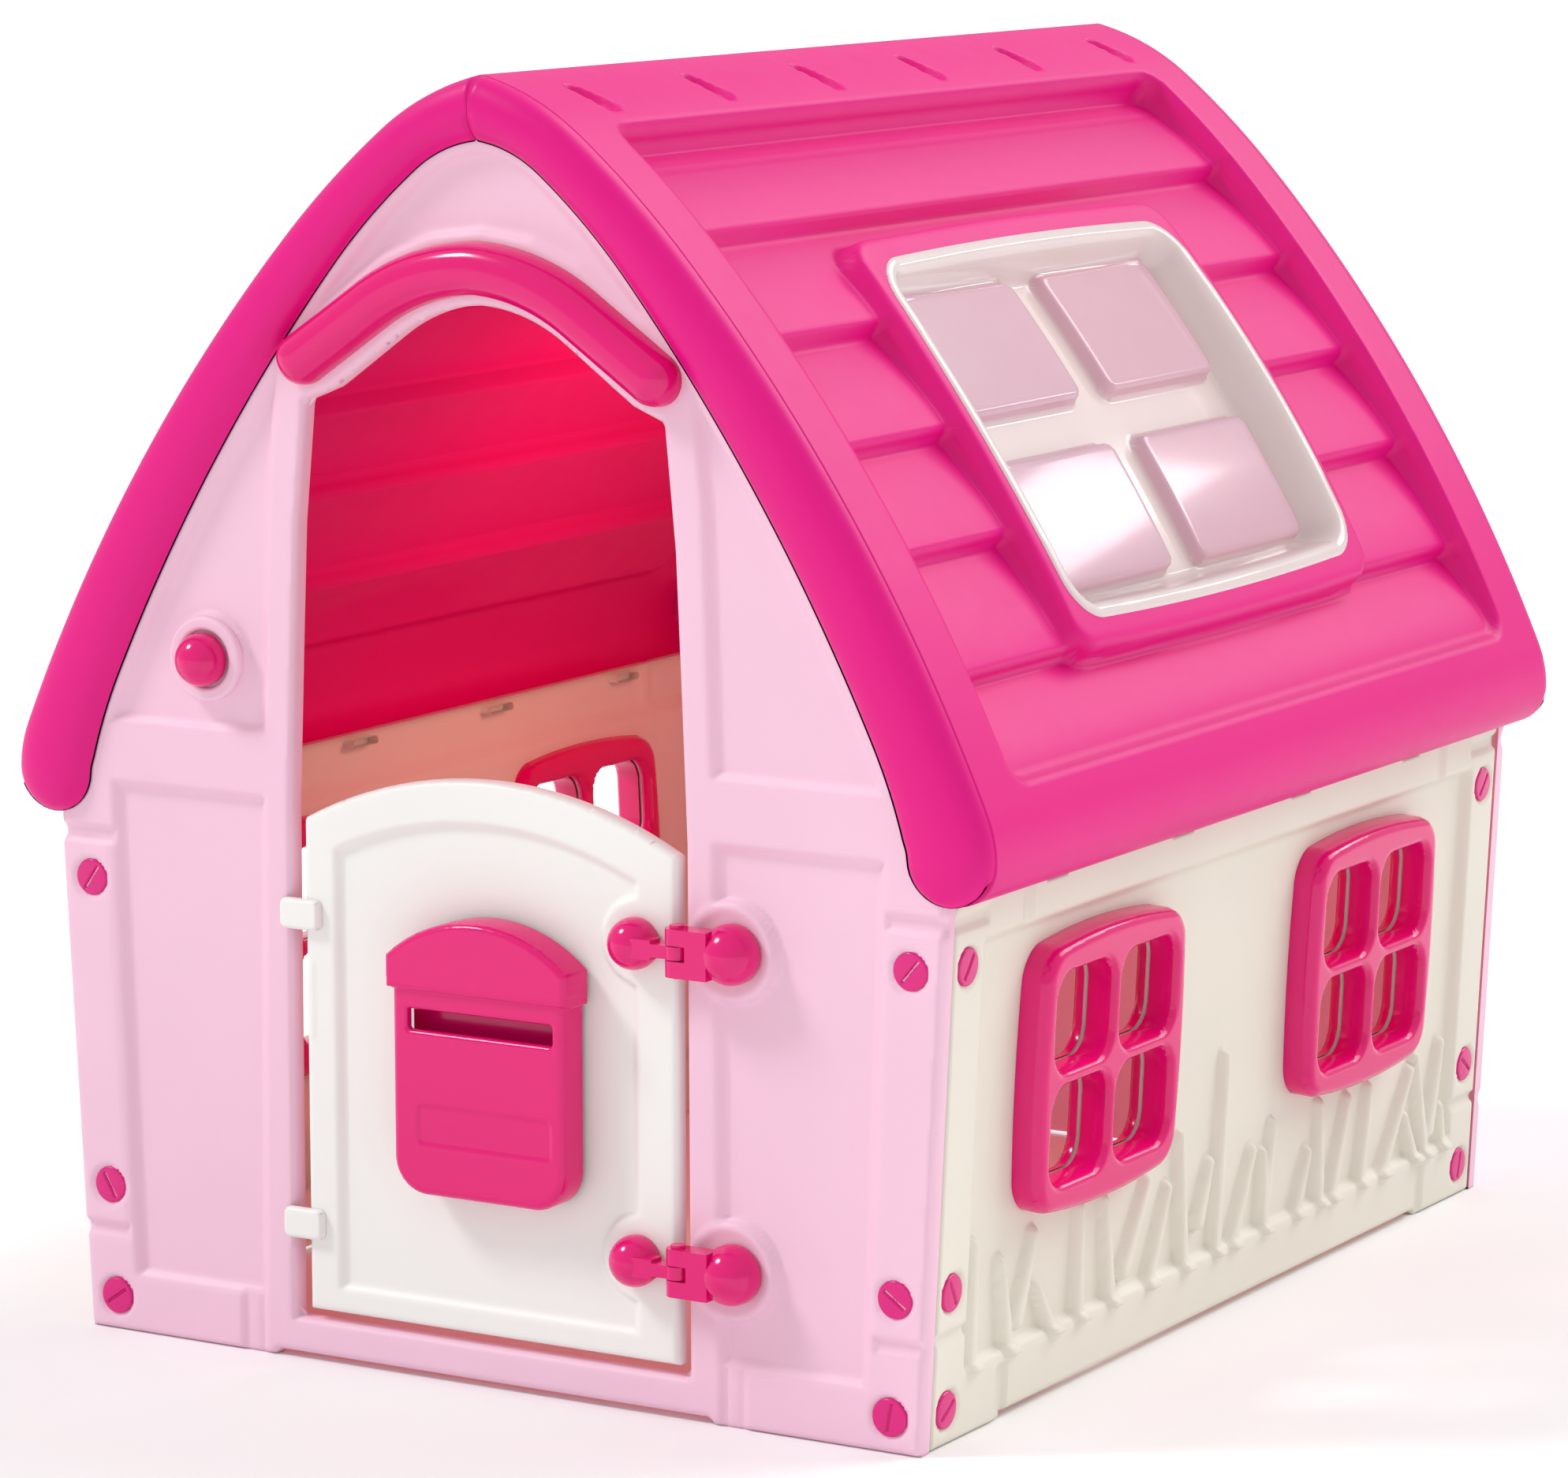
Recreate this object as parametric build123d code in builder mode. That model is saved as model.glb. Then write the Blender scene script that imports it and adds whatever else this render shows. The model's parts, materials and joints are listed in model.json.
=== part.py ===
from build123d import *
from math import atan, cos, degrees, radians, sin
import os

# Plastic playhouse. Millimetres, +Z up, +X to the right as seen from the door side, the door faces -Y.
# Everything is drawn about the middle of the walls. save() then shifts it along Y, so that the origin
# lies on the ground under the middle of the overall box.
box_shift = 11

# Walls
wall_half_depth = 596
side_half_length = 575.5
base_half_width = 455.6
wall_lean = 0.0505
lean_angle = degrees(atan(wall_lean))
skin = 4
rim_depth = 18
foot_height = 6
side_wall_height = 508
gable_corner_height = 515
gable_inset = 6
field_depth = 8

# Roof line: ridge height and slope, then (radius, turn) of each tangent arc down to the eave
ridge_height = 1206
ridge_slope = 13.2
roof_arcs = [(262, 25.4), (917, 8.9), (1728, 18.9), (115, 23.5), (38, 95)]
roof_half_length = 613
roof_skin = 4.5
seam_half_gap = 0.3
ridge_flange = 28

# Inner line of the bargeboards, as tangent arcs from the apex
barge_height = 1147
barge_slope = 6.6
barge_arcs = [(127, 32.1), (629, 11.8), (1899, 14.2), (480, 13.3)]
barge_depth = 16

# Sunk roof field with overlapping boards, distances measured down the slope from the ridge
board_steps = [108, 235, 356, 475, 587, 707, 812]
board_root = 34
board_crest = 14
last_board_crest = 9
field_half = 525
dimple_places = [-500, -300, -100, 100, 300, 500]
dimple_slope = 62
dimple_size = (46, 16)
dimple_depth = 2

# Skylight and its raised surround, on the right half of the roof only
surround_top = 258
surround_bottom = 732
surround_half = 320
surround_depth = 6
skylight_slope = 491.5
skylight_width = 600
skylight_height = 405
skylight_bow = 7
skylight_corner = 45
skylight_rim = 17
skylight_depth = 1
skylight_floor = 41
skylight_skin = 3
pane_rise = 14
pane_size = (226, 142)
pane_spacing = (278, 188)

# Doorway and half door
sill_height = 40
door_hinge_side = 206
door_free_side = -199
door_bottom = 50
door_shoulder = 517
door_top = 568
door_front = -597
door_thickness = 16
door_panel_side = 162
door_panel_bottom = 75
door_panel_shoulder = 490
door_panel_top = 527
door_panel_depth = 6
door_tab_heights = [133, 427]

# Hinges
hinge_x = 220
hinge_y = -618
hinge_heights = [145, 437]
hinge_pin_radius = 4
pin_clearance = 0.05
wall_ball_x = 268
wall_ball_radius = 28
door_ball_x = 166
door_ball_radius = 24
hinge_boss_x = 262
boss_radius = 46
boss_rise = 2.5
knuckle_radius = 11
slot_depth = 14

# Mailbox on the door
mailbox_centre = 13
mailbox_width = 186
cap_width = 197
mailbox_bottom = 184
mailbox_eave = 375
mailbox_shoulder = 431
mailbox_top = 444
mailbox_depth = 33
cap_depth = 38
mailbox_wall = 3
slot_size = (157, 20)
slot_height = 348
label_size = (144, 36)
label_height = 251

# Windows in the side walls, as distances along the wall from its middle
window_places = [-291, 266]
window_height = 308
window_size = (268, 242)
window_bow = (6, 10)
window_corner = 28
window_proud = 19
pane_hole = (111, 93)
pane_hole_corner = 26
pane_hole_spacing = (124, 106)
inner_frame_depth = 12
clip_spacing = (200, 228)
clip_size = (28, 4)
clip_gap = 0.6

# Screws that join the walls at the corners
screw_heights = [33, 141, 438]
screw_front_x = 423
screw_side_y = 548
screw_head_radius = 18
screw_head_rise = 5
screw_shank_radius = 5
screw_length = 28
screw_slot = (27, 4)
screw_slot_angles = [35, -60, 80, -20, 50, -75]

# Doorbell on the front wall
bell_x = -305
bell_height = 658
bell_radius = 25
bell_ring_radius = 40
bell_stem_radius = 9
bell_travel = 4

# Side wall relief
panel_half = 518
panel_low = 62
panel_high = 458
panel_depth = 11
groove_depth = 5

# Grass on the side panels: foot and tip of each blade, along the wall and up
blades = [
    ((-500, 62), (-502, 175)), ((-430, 62), (-450, 148)), ((-415, 95), (-388, 162)),
    ((-345, 62), (-380, 110)), ((-295, 62), (-300, 168)), ((-230, 62), (-252, 165)),
    ((-200, 95), (-165, 165)), ((-155, 62), (-120, 148)), ((-80, 62), (-100, 195)),
    ((-48, 115), (-33, 155)), ((-13, 62), (-10, 255)), ((22, 62), (60, 148)),
    ((92, 62), (84, 140)), ((94, 95), (104, 165)), ((162, 62), (187, 120)),
    ((217, 62), (209, 165)), ((244, 62), (274, 158)), ((312, 62), (322, 160)),
    ((362, 62), (422, 158)), ((442, 62), (412, 112)), ((467, 62), (432, 170)),
    ((477, 95), (492, 175)), ((508, 62), (500, 105)),
]
blade_foot_radius = 9
blade_tip_radius = 5
blade_rise = 6

os.makedirs("parts", exist_ok=True)


def save(part, name):
    """Shift a finished piece to its final place, label it and write it."""
    placed = part.moved(Location((0, box_shift, 0)))
    placed.label = name
    export_step(placed, "parts/" + name + ".step")


def half_turn(part):
    """The same moulding turned half way round the house."""
    return part.rotate(Axis.Z, 180)


def lean(height):
    """Outward shift of the leaning side walls at a height."""
    return wall_lean * height


def section(y):
    """Plane across the house at y, with local x to the right and local y up, extruding towards -Y."""
    return Plane.XZ.offset(-y)


def side_plane(offset=0):
    """Outer face of the right wall, with local x towards the rear and local y up the wall."""
    normal = (cos(radians(lean_angle)), 0, -sin(radians(lean_angle)))
    return Plane(origin=(base_half_width, 0, 0), x_dir=(0, 1, 0), z_dir=normal).offset(offset)


# ------------------------------------------------------------------ roof line


def line_point(height, slope, arcs, distance, depth=0):
    """Point down a chain of tangent arcs, moved inwards by depth, with the slope there."""
    x, z, angle, left = 0, height, slope, distance
    for radius, turn in arcs:
        step = min(left, radius * radians(turn))
        end = angle + degrees(step / radius)
        x += radius * (sin(radians(end)) - sin(radians(angle)))
        z -= radius * (cos(radians(angle)) - cos(radians(end)))
        angle = end
        left -= step
    return x - depth * sin(radians(angle)), z - depth * cos(radians(angle)), angle


def roof_point(distance, depth=0):
    """Point at a distance down the roof from the ridge, depth below its surface."""
    return line_point(ridge_height, ridge_slope, roof_arcs, distance, depth)[:2]


def arc_chain(height, slope, arcs, depth=0):
    """Draw a chain of tangent arcs, moved inwards by depth, and return its two ends."""
    first = line_point(height, slope, arcs, 0, depth)[:2]
    here = first
    heading = slope
    for radius, turn in arcs:
        tangent = (cos(radians(heading)), -sin(radians(heading)))
        arc = JernArc(here, tangent, radius - depth, -turn)
        here = ((arc @ 1).X, (arc @ 1).Y)
        heading += turn
    return first, here


def roof_band(top, bottom, arcs=roof_arcs):
    """Area between two depths below the right half of the roof line."""
    with BuildLine() as outline:
        top_start, top_end = arc_chain(ridge_height, ridge_slope, arcs, top)
        low_start, low_end = arc_chain(ridge_height, ridge_slope, arcs, bottom)
        Line(top_start, low_start)
        Line(top_end, low_end)
    make_face(outline.edges())


def roof_strip(first, last, top, bottom):
    """Area between two distances from the ridge and two depths, on the third roof arc or above it."""
    middle = (first + last) / 2
    with BuildLine() as outline:
        ThreePointArc(roof_point(first, top), roof_point(middle, top), roof_point(last, top))
        Line(roof_point(last, top), roof_point(last, bottom))
        ThreePointArc(roof_point(last, bottom), roof_point(middle, bottom), roof_point(first, bottom))
        Line(roof_point(first, bottom), roof_point(first, top))
    make_face(outline.edges())


def keep_right_half():
    """Cut the current sketch at the middle of the house and mirror its right half."""
    with Locations((-500, 600)):
        Rectangle(1000, 1400, mode=Mode.SUBTRACT)
    mirror(about=Plane.YZ)


# ---------------------------------------------------------------- gable walls


def gable_area(inset):
    """Outline of a gable wall, under the roof line and with leaning sides."""
    arcs = roof_arcs[:3]
    with BuildLine() as outline:
        top, low = arc_chain(ridge_height, ridge_slope, arcs, gable_inset + inset)
        corner = (base_half_width + lean(gable_corner_height) - inset, gable_corner_height)
        foot = (base_half_width - inset, inset)
        Polyline(low, corner, foot, (top[0], inset), top)
    make_face(outline.edges())
    keep_right_half()
    Rectangle(480, 2 * (foot_height + inset), mode=Mode.SUBTRACT)


def doorway_area():
    """Doorway with tapering jambs and a bell-shaped head."""
    head = (161.8, 33.4)
    with BuildLine() as outline:
        crown, flank = arc_chain(1000, 2.3, [head])
        Polyline(flank, (157, 920), (182, 908), (192, 905), (203, 791), (208, 678), (214, 530), (216, sill_height),
                 (0, sill_height), crown)
    make_face(outline.edges())
    mirror(about=Plane.YZ)


def under_barge_area(inset):
    """Area of a gable wall that the bargeboards leave open."""
    with BuildLine() as outline:
        top, low = arc_chain(barge_height, barge_slope, barge_arcs, inset)
        Polyline(low, (low[0], 0), (top[0], 0), top)
    make_face(outline.edges())
    keep_right_half()


with BuildSketch() as doorway:
    doorway_area()

with BuildSketch() as doorway_grown:
    doorway_area()
    offset(amount=skin, kind=Kind.INTERSECTION)

with BuildSketch() as gable_fields:
    with BuildLine():
        Polyline((250, 57), (400, 57), (418, 532), (244, 532), close=True)
    make_face()
    with BuildLine():
        Polyline((226, 990), (226, 915), (234, 834), (243, 592), (450, 592), (450, 990), close=True)
    make_face()
    mirror(about=Plane.YZ)
    with BuildLine():
        ThreePointArc((-104, 1040), (0, 1066), (104, 1040))
        Polyline((104, 1040), (170, 995), (170, 1200), (-170, 1200), (-170, 995), (-104, 1040))
    make_face()
    with BuildSketch(mode=Mode.PRIVATE) as open_part:
        under_barge_area(7)
    add(open_part.sketch, mode=Mode.INTERSECT)

with BuildSketch() as gable_fields_grown:
    offset(gable_fields.sketch, amount=skin, kind=Kind.INTERSECTION)

with BuildSketch() as gable_grooves:
    for groove_low, groove_high in ((90, 105), (472, 488)):
        with BuildLine():
            edge_low = base_half_width + lean(groove_low)
            edge_high = base_half_width + lean(groove_high)
            Polyline((408, groove_low), (edge_low, groove_low), (edge_high, groove_high), (408, groove_high),
                     close=True)
        make_face()
    with Locations((263, 29)):
        Rectangle(22, 50)
    mirror(about=Plane.YZ)

with BuildSketch() as gable_grooves_grown:
    offset(gable_grooves.sketch, amount=skin, kind=Kind.INTERSECTION)


def gable_wall(with_door):
    """A gable wall: a skin with sunk fields and grooves, a rim round its edges, and tabs for the side screws."""
    with BuildPart() as wall:
        with BuildSketch(section(-wall_half_depth)):
            gable_area(0)
            if with_door:
                add(doorway.sketch, mode=Mode.SUBTRACT)
        extrude(amount=-rim_depth)
        with BuildSketch(section(-wall_half_depth + skin)):
            gable_area(skin)
            add(gable_fields_grown.sketch, mode=Mode.SUBTRACT)
            add(gable_grooves_grown.sketch, mode=Mode.SUBTRACT)
            if with_door:
                add(doorway_grown.sketch, mode=Mode.SUBTRACT)
        extrude(amount=-rim_depth, mode=Mode.SUBTRACT)
        for area, grown, depth in ((gable_fields, gable_fields_grown, field_depth),
                                   (gable_grooves, gable_grooves_grown, groove_depth)):
            with BuildSketch(section(-wall_half_depth + depth + skin)):
                gable_area(skin)
                add(grown.sketch, mode=Mode.INTERSECT)
                if with_door:
                    add(doorway_grown.sketch, mode=Mode.SUBTRACT)
            extrude(amount=-rim_depth, mode=Mode.SUBTRACT)
            with BuildSketch(section(-wall_half_depth)):
                add(area.sketch)
            extrude(amount=-depth, mode=Mode.SUBTRACT)
        for height in screw_heights:
            # tabs reach back behind the ends of the side walls
            middle = base_half_width - 8 + lean(height)
            with BuildSketch(section(-wall_half_depth + skin / 2)):
                with Locations((middle, height), (-middle, height)):
                    Rectangle(5, 40)
            extrude(amount=-70)
            with BuildSketch(Plane.YZ):
                with Locations((-screw_side_y, height)):
                    Circle(screw_shank_radius + pin_clearance)
            extrude(amount=500, both=True, mode=Mode.SUBTRACT)
            front_x = screw_front_x + lean(height)
            with BuildSketch(section(-wall_half_depth)):
                with Locations((front_x, height), (-front_x, height)):
                    Circle(screw_shank_radius + pin_clearance)
            extrude(amount=-skin - field_depth, mode=Mode.SUBTRACT)
        if with_door:
            # round bosses under the hinge balls and the doorbell
            with BuildSketch(section(-wall_half_depth + field_depth + skin)):
                with Locations((hinge_boss_x, hinge_heights[0]), (hinge_boss_x, hinge_heights[1])):
                    Circle(boss_radius)
            extrude(amount=field_depth + skin + boss_rise)
            with BuildSketch(section(-wall_half_depth + field_depth + skin)):
                with Locations((bell_x, bell_height)):
                    Circle(bell_ring_radius + 3)
            extrude(amount=field_depth + skin)
            with BuildSketch(section(-wall_half_depth)):
                with Locations((bell_x, bell_height)):
                    Circle(bell_stem_radius + 1)
            extrude(amount=-rim_depth, mode=Mode.SUBTRACT)
    return wall.part


front_wall = gable_wall(True)
rear_wall = half_turn(gable_wall(False))
save(front_wall, "front_wall")
save(rear_wall, "rear_wall")
print("gable walls")

# ----------------------------------------------------------------- side walls


def bowed_area(size, bow, corner):
    """Rounded rectangle whose sides bulge outwards."""
    half_x, half_y = size[0] / 2, size[1] / 2
    bow_x, bow_y = bow
    with BuildLine() as outline:
        ThreePointArc((-half_x, -half_y), (0, -half_y - bow_y), (half_x, -half_y))
        ThreePointArc((half_x, -half_y), (half_x + bow_x, 0), (half_x, half_y))
        ThreePointArc((half_x, half_y), (0, half_y + bow_y), (-half_x, half_y))
        ThreePointArc((-half_x, half_y), (-half_x - bow_x, 0), (-half_x, -half_y))
    face = make_face(outline.edges())
    fillet(face.vertices(), radius=corner)


def side_end_area(inset, low):
    """Outline of a side wall, drawn along the wall and up."""
    with Locations((0, side_wall_height / 2 + inset / 2)):
        Rectangle(2 * (side_half_length - inset), side_wall_height - inset)
    with Locations((0, low / 2)):
        Rectangle(880, low, mode=Mode.SUBTRACT)
    if inset:
        with Locations((0, side_wall_height)):
            Rectangle(1200, 2 * inset, mode=Mode.SUBTRACT)


with BuildSketch() as side_grooves:
    with Locations((-440, 483), (440, 483), (-448, 28.5), (448, 28.5)):
        Rectangle(15, 47)
    with Locations((-546, 102), (546, 102), (-560, 480), (560, 480)):
        Rectangle(66, 10)

with BuildSketch() as side_grooves_grown:
    offset(side_grooves.sketch, amount=skin, kind=Kind.INTERSECTION)

with BuildSketch() as window_panes:
    for place in window_places:
        with Locations((place, window_height)):
            with GridLocations(*pane_hole_spacing, 2, 2):
                RectangleRounded(*pane_hole, pane_hole_corner)

with BuildSketch() as clip_holes:
    for place in window_places:
        with Locations((place, window_height)):
            with GridLocations(*clip_spacing, 2, 2):
                Rectangle(clip_size[0] + 2 * clip_gap, clip_size[1] + 2 * clip_gap)

with BuildPart() as right_wall:
    with BuildSketch(side_plane()):
        side_end_area(0, foot_height)
    extrude(amount=-rim_depth)
    # the sunk panel and its backing
    with BuildSketch(side_plane()):
        with Locations((0, (panel_low + panel_high) / 2)):
            Rectangle(2 * panel_half, panel_high - panel_low)
    extrude(amount=-panel_depth, mode=Mode.SUBTRACT)
    with BuildSketch(side_plane(-panel_depth - skin)):
        with Locations((0, (panel_low + panel_high) / 2)):
            Rectangle(2 * (panel_half + skin), panel_high - panel_low + 2 * skin)
    extrude(amount=-rim_depth, mode=Mode.SUBTRACT)
    with BuildSketch(side_plane(-skin)):
        side_end_area(skin, foot_height + skin)
        with Locations((0, (panel_low + panel_high) / 2)):
            Rectangle(2 * (panel_half + skin), panel_high - panel_low + 2 * skin, mode=Mode.SUBTRACT)
        add(side_grooves_grown.sketch, mode=Mode.SUBTRACT)
    extrude(amount=-rim_depth, mode=Mode.SUBTRACT)
    with BuildSketch(side_plane(-groove_depth - skin)):
        side_end_area(skin, foot_height + skin)
        add(side_grooves_grown.sketch, mode=Mode.INTERSECT)
    extrude(amount=-rim_depth, mode=Mode.SUBTRACT)
    with BuildSketch(side_plane()):
        add(side_grooves.sketch)
    extrude(amount=-groove_depth, mode=Mode.SUBTRACT)
    # grass on the sunk panel
    for foot, tip in blades:
        with BuildSketch(side_plane(-panel_depth - 1)):
            with Locations(foot):
                Circle(blade_foot_radius)
            with Locations(tip):
                Circle(blade_tip_radius)
            make_hull()
        extrude(amount=blade_rise + 1)
    # window and clip openings
    with BuildSketch(side_plane()):
        add(window_panes.sketch)
        add(clip_holes.sketch)
    extrude(amount=-rim_depth, mode=Mode.SUBTRACT)
    # hooks at both ends reach inside the gable walls, beside slots for the tabs of those walls
    for end in (1, -1):
        for height in screw_heights:
            with BuildSketch(section(end * (side_half_length - skin))):
                with Locations((437 + lean(height), height)):
                    Rectangle(8, 44)
            extrude(amount=-end * (wall_half_depth - 5 - side_half_length + skin))
            with BuildSketch(section(end * (wall_half_depth - 11))):
                with Locations((423 + lean(height), height)):
                    Rectangle(36, 44)
            extrude(amount=-end * 6)
            with BuildSketch(section(end * (wall_half_depth - rim_depth))):
                with Locations((base_half_width - 8 + lean(height), height)):
                    Rectangle(7, 42)
            extrude(amount=end * 12, mode=Mode.SUBTRACT)
            with BuildSketch(section(end * (wall_half_depth - 13))):
                with Locations((screw_front_x + lean(height), height)):
                    Circle(screw_shank_radius + pin_clearance)
            extrude(amount=-end * 10, mode=Mode.SUBTRACT)
    for height in screw_heights:
        with BuildSketch(Plane.YZ.offset(base_half_width - 30)):
            with Locations((-screw_side_y, height), (screw_side_y, height)):
                Circle(screw_shank_radius + pin_clearance)
        extrude(amount=100, mode=Mode.SUBTRACT)
left_wall = half_turn(right_wall.part)
save(right_wall.part, "right_wall")
save(left_wall, "left_wall")
print("side walls")

# -------------------------------------------------------------------- windows

with BuildSketch() as frame_area:
    bowed_area(window_size, window_bow, window_corner)

with BuildSketch() as frame_inset:
    bowed_area((window_size[0] - 2 * skin, window_size[1] - 2 * skin), window_bow, window_corner - skin)

with BuildSketch() as pane_areas:
    with GridLocations(*pane_hole_spacing, 2, 2):
        RectangleRounded(*pane_hole, pane_hole_corner)

with BuildSketch() as pane_walls:
    with GridLocations(*pane_hole_spacing, 2, 2):
        RectangleRounded(pane_hole[0] + 6, pane_hole[1] + 6, pane_hole_corner + 3)


def outer_frame(place):
    """Window frame outside the right wall, hollow behind, with four snap tabs."""
    height = panel_depth + window_proud
    centre = (place, window_height)
    with BuildPart() as frame:
        with BuildSketch(side_plane(-panel_depth)):
            with Locations(centre):
                add(frame_area.sketch)
        extrude(amount=height)
        top_edges = frame.faces().sort_by(Axis.X)[-1].edges()
        fillet(top_edges, radius=10)
        with BuildSketch(side_plane(-panel_depth)):
            with Locations(centre):
                add(frame_inset.sketch)
                add(pane_walls.sketch, mode=Mode.SUBTRACT)
        extrude(amount=height - skin, mode=Mode.SUBTRACT)
        with BuildSketch(side_plane(-panel_depth - 1)):
            with Locations(centre):
                add(pane_areas.sketch)
        extrude(amount=height + 2, mode=Mode.SUBTRACT)
        with BuildSketch(side_plane(window_proud - skin + 1)):
            with Locations(centre):
                with GridLocations(*clip_spacing, 2, 2):
                    Rectangle(*clip_size)
        extrude(amount=-height - 2 * skin - 3)
    return frame.part


def inner_frame(place):
    """Window frame inside the right wall, hollow behind, with slots that take the snap tabs."""
    centre = (place, window_height)
    with BuildPart() as frame:
        with BuildSketch(side_plane(-panel_depth - skin)):
            with Locations(centre):
                add(frame_area.sketch)
        extrude(amount=-inner_frame_depth)
        with BuildSketch(side_plane(-panel_depth - skin)):
            with Locations(centre):
                add(frame_inset.sketch)
                add(pane_walls.sketch, mode=Mode.SUBTRACT)
        extrude(amount=-inner_frame_depth + 3, mode=Mode.SUBTRACT)
        with BuildSketch(side_plane(-panel_depth)):
            with Locations(centre):
                add(pane_areas.sketch)
                with GridLocations(*clip_spacing, 2, 2):
                    Rectangle(clip_size[0] + 2 * clip_gap, clip_size[1] + 2 * clip_gap)
        extrude(amount=-inner_frame_depth - 2 * skin, mode=Mode.SUBTRACT)
    return frame.part


for place, end in zip(window_places, ("front", "rear")):
    opposite = {"front": "rear", "rear": "front"}[end]
    for maker, kind in ((outer_frame, "frame_outer"), (inner_frame, "frame_inner")):
        right_frame = maker(place)
        save(right_frame, f"window_{kind}_right_{end}")
        save(half_turn(right_frame), f"window_{kind}_left_{opposite}")
print("windows")

# ----------------------------------------------------------------------- roof

board_tops = []
board_undersides = []
board_tops.append(roof_point(board_steps[0], 0))
board_undersides.append(roof_point(board_steps[0] - roof_skin, 0))
for start, end in zip(board_steps, board_steps[1:]):
    crest = last_board_crest if end == board_steps[-1] else board_crest
    shoulder = (start + 2 * end) / 3
    shoulder_depth = crest + (board_root - crest) * 0.2
    for place, depth in ((start, board_root), (shoulder, shoulder_depth), (end, crest)):
        board_tops.append(roof_point(place, depth))
        board_undersides.append(roof_point(place - roof_skin, depth + roof_skin))
board_tops.append(roof_point(board_steps[-1], 0))
board_undersides[-1] = roof_point(board_steps[-1] + roof_skin, last_board_crest + roof_skin)
board_undersides.append(roof_point(board_steps[-1] + roof_skin, 0))

eave_heading = ridge_slope + sum(turn for _, turn in roof_arcs)
eave_tangent = (cos(radians(eave_heading)), -sin(radians(eave_heading)))

# bargeboard: a channel that is open at the back
with BuildPart() as bargeboard:
    with BuildSketch(section(-roof_half_length)):
        with BuildLine():
            outer_start, outer_end = arc_chain(ridge_height, ridge_slope, roof_arcs)
            inner_start, inner_end = arc_chain(barge_height, barge_slope, barge_arcs)
            TangentArc(outer_end, inner_end, tangent=eave_tangent)
            Line(inner_start, outer_start)
        make_face()
    extrude(amount=-barge_depth)
    with BuildSketch(section(-roof_half_length + skin)):
        with BuildLine():
            outer_start, outer_end = arc_chain(ridge_height, ridge_slope, roof_arcs, roof_skin)
            inner_start, inner_end = arc_chain(barge_height, barge_slope, barge_arcs, -skin)
            TangentArc(outer_end, inner_end, tangent=eave_tangent)
            Line(inner_start, outer_start)
        make_face()
    extrude(amount=-barge_depth, mode=Mode.SUBTRACT)


def roof_half(with_skylight):
    """Right half of the roof: a curved skin with a sunk field of boards, between two bargeboards."""
    with BuildPart() as roof:
        with BuildSketch(section(-roof_half_length + barge_depth)):
            roof_band(0, roof_skin)
        extrude(amount=-2 * (roof_half_length - barge_depth))
        # sunk field: opening, boards and end cheeks
        with BuildSketch(section(-field_half)):
            roof_strip(board_steps[0], board_steps[-1], -5, 60)
        extrude(amount=-2 * field_half, mode=Mode.SUBTRACT)
        with BuildSketch(section(-field_half)):
            with BuildLine() as outline:
                Polyline(*board_tops, *reversed(board_undersides), close=True)
            make_face(outline.edges())
        extrude(amount=-2 * field_half)
        for start in (-field_half - roof_skin, field_half):
            with BuildSketch(section(start)):
                roof_strip(board_steps[0] - roof_skin, board_steps[-1] + roof_skin, 1, board_root + roof_skin)
            extrude(amount=-roof_skin)
        if with_skylight:
            # raised surround of the skylight, hollow underneath
            with BuildSketch(section(-surround_half)):
                roof_strip(surround_top, surround_bottom, surround_depth, board_root + 2)
            extrude(amount=-2 * surround_half)
            with BuildSketch(section(-surround_half + skin)):
                roof_strip(surround_top + skin, surround_bottom - skin, surround_depth + skin, 60)
            extrude(amount=-2 * (surround_half - skin), mode=Mode.SUBTRACT)
            with BuildSketch(section(-skylight_width / 2 + skylight_rim - 2)):
                half_opening = skylight_height / 2 - skylight_rim + 2
                roof_strip(skylight_slope - half_opening, skylight_slope + half_opening, 0, 60)
            extrude(amount=-skylight_width + 2 * skylight_rim - 4, mode=Mode.SUBTRACT)
        add(bargeboard.part)
        add(mirror(bargeboard.part, about=Plane.XZ, mode=Mode.PRIVATE))
        # flange along the ridge, where the two halves meet
        with BuildSketch(section(-wall_half_depth + rim_depth + 4)):
            with Locations((skin / 2, ridge_height - ridge_flange / 2 - 1)):
                Rectangle(skin, ridge_flange)
        extrude(amount=-2 * (wall_half_depth - rim_depth - 4))
        for place in dimple_places:
            x, z, angle = line_point(ridge_height, ridge_slope, roof_arcs, dimple_slope)
            normal = (sin(radians(angle)), 0, cos(radians(angle)))
            with BuildSketch(Plane(origin=(x, place, z), x_dir=(cos(radians(angle)), 0, -sin(radians(angle))),
                                   z_dir=normal)):
                SlotOverall(*dimple_size, rotation=15)
            extrude(amount=-dimple_depth, mode=Mode.SUBTRACT)
        with BuildSketch(section(-700)):
            with Locations((seam_half_gap - 100, 1150)):
                Rectangle(200, 300)
        extrude(amount=-1400, mode=Mode.SUBTRACT)
    return roof.part


roof_right = roof_half(True)
roof_left = half_turn(roof_half(False))
save(roof_right, "roof_right")
save(roof_left, "roof_left")
print("roof")

# ------------------------------------------------------------------- skylight

centre_x, centre_z, centre_angle = line_point(ridge_height, ridge_slope, roof_arcs, skylight_slope)
skylight_plane = Plane(origin=(centre_x, 0, centre_z), x_dir=(0, 1, 0),
                       z_dir=(sin(radians(centre_angle)), 0, cos(radians(centre_angle))))


def skylight_outline(inset):
    """Bowed outline of the skylight, moved inwards."""
    inwards = 2 * (skylight_bow + inset)
    bowed_area((skylight_width - inwards, skylight_height - inwards), (skylight_bow, skylight_bow),
               skylight_corner - inset)


with BuildSketch() as skylight_area:
    skylight_outline(0)


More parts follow.
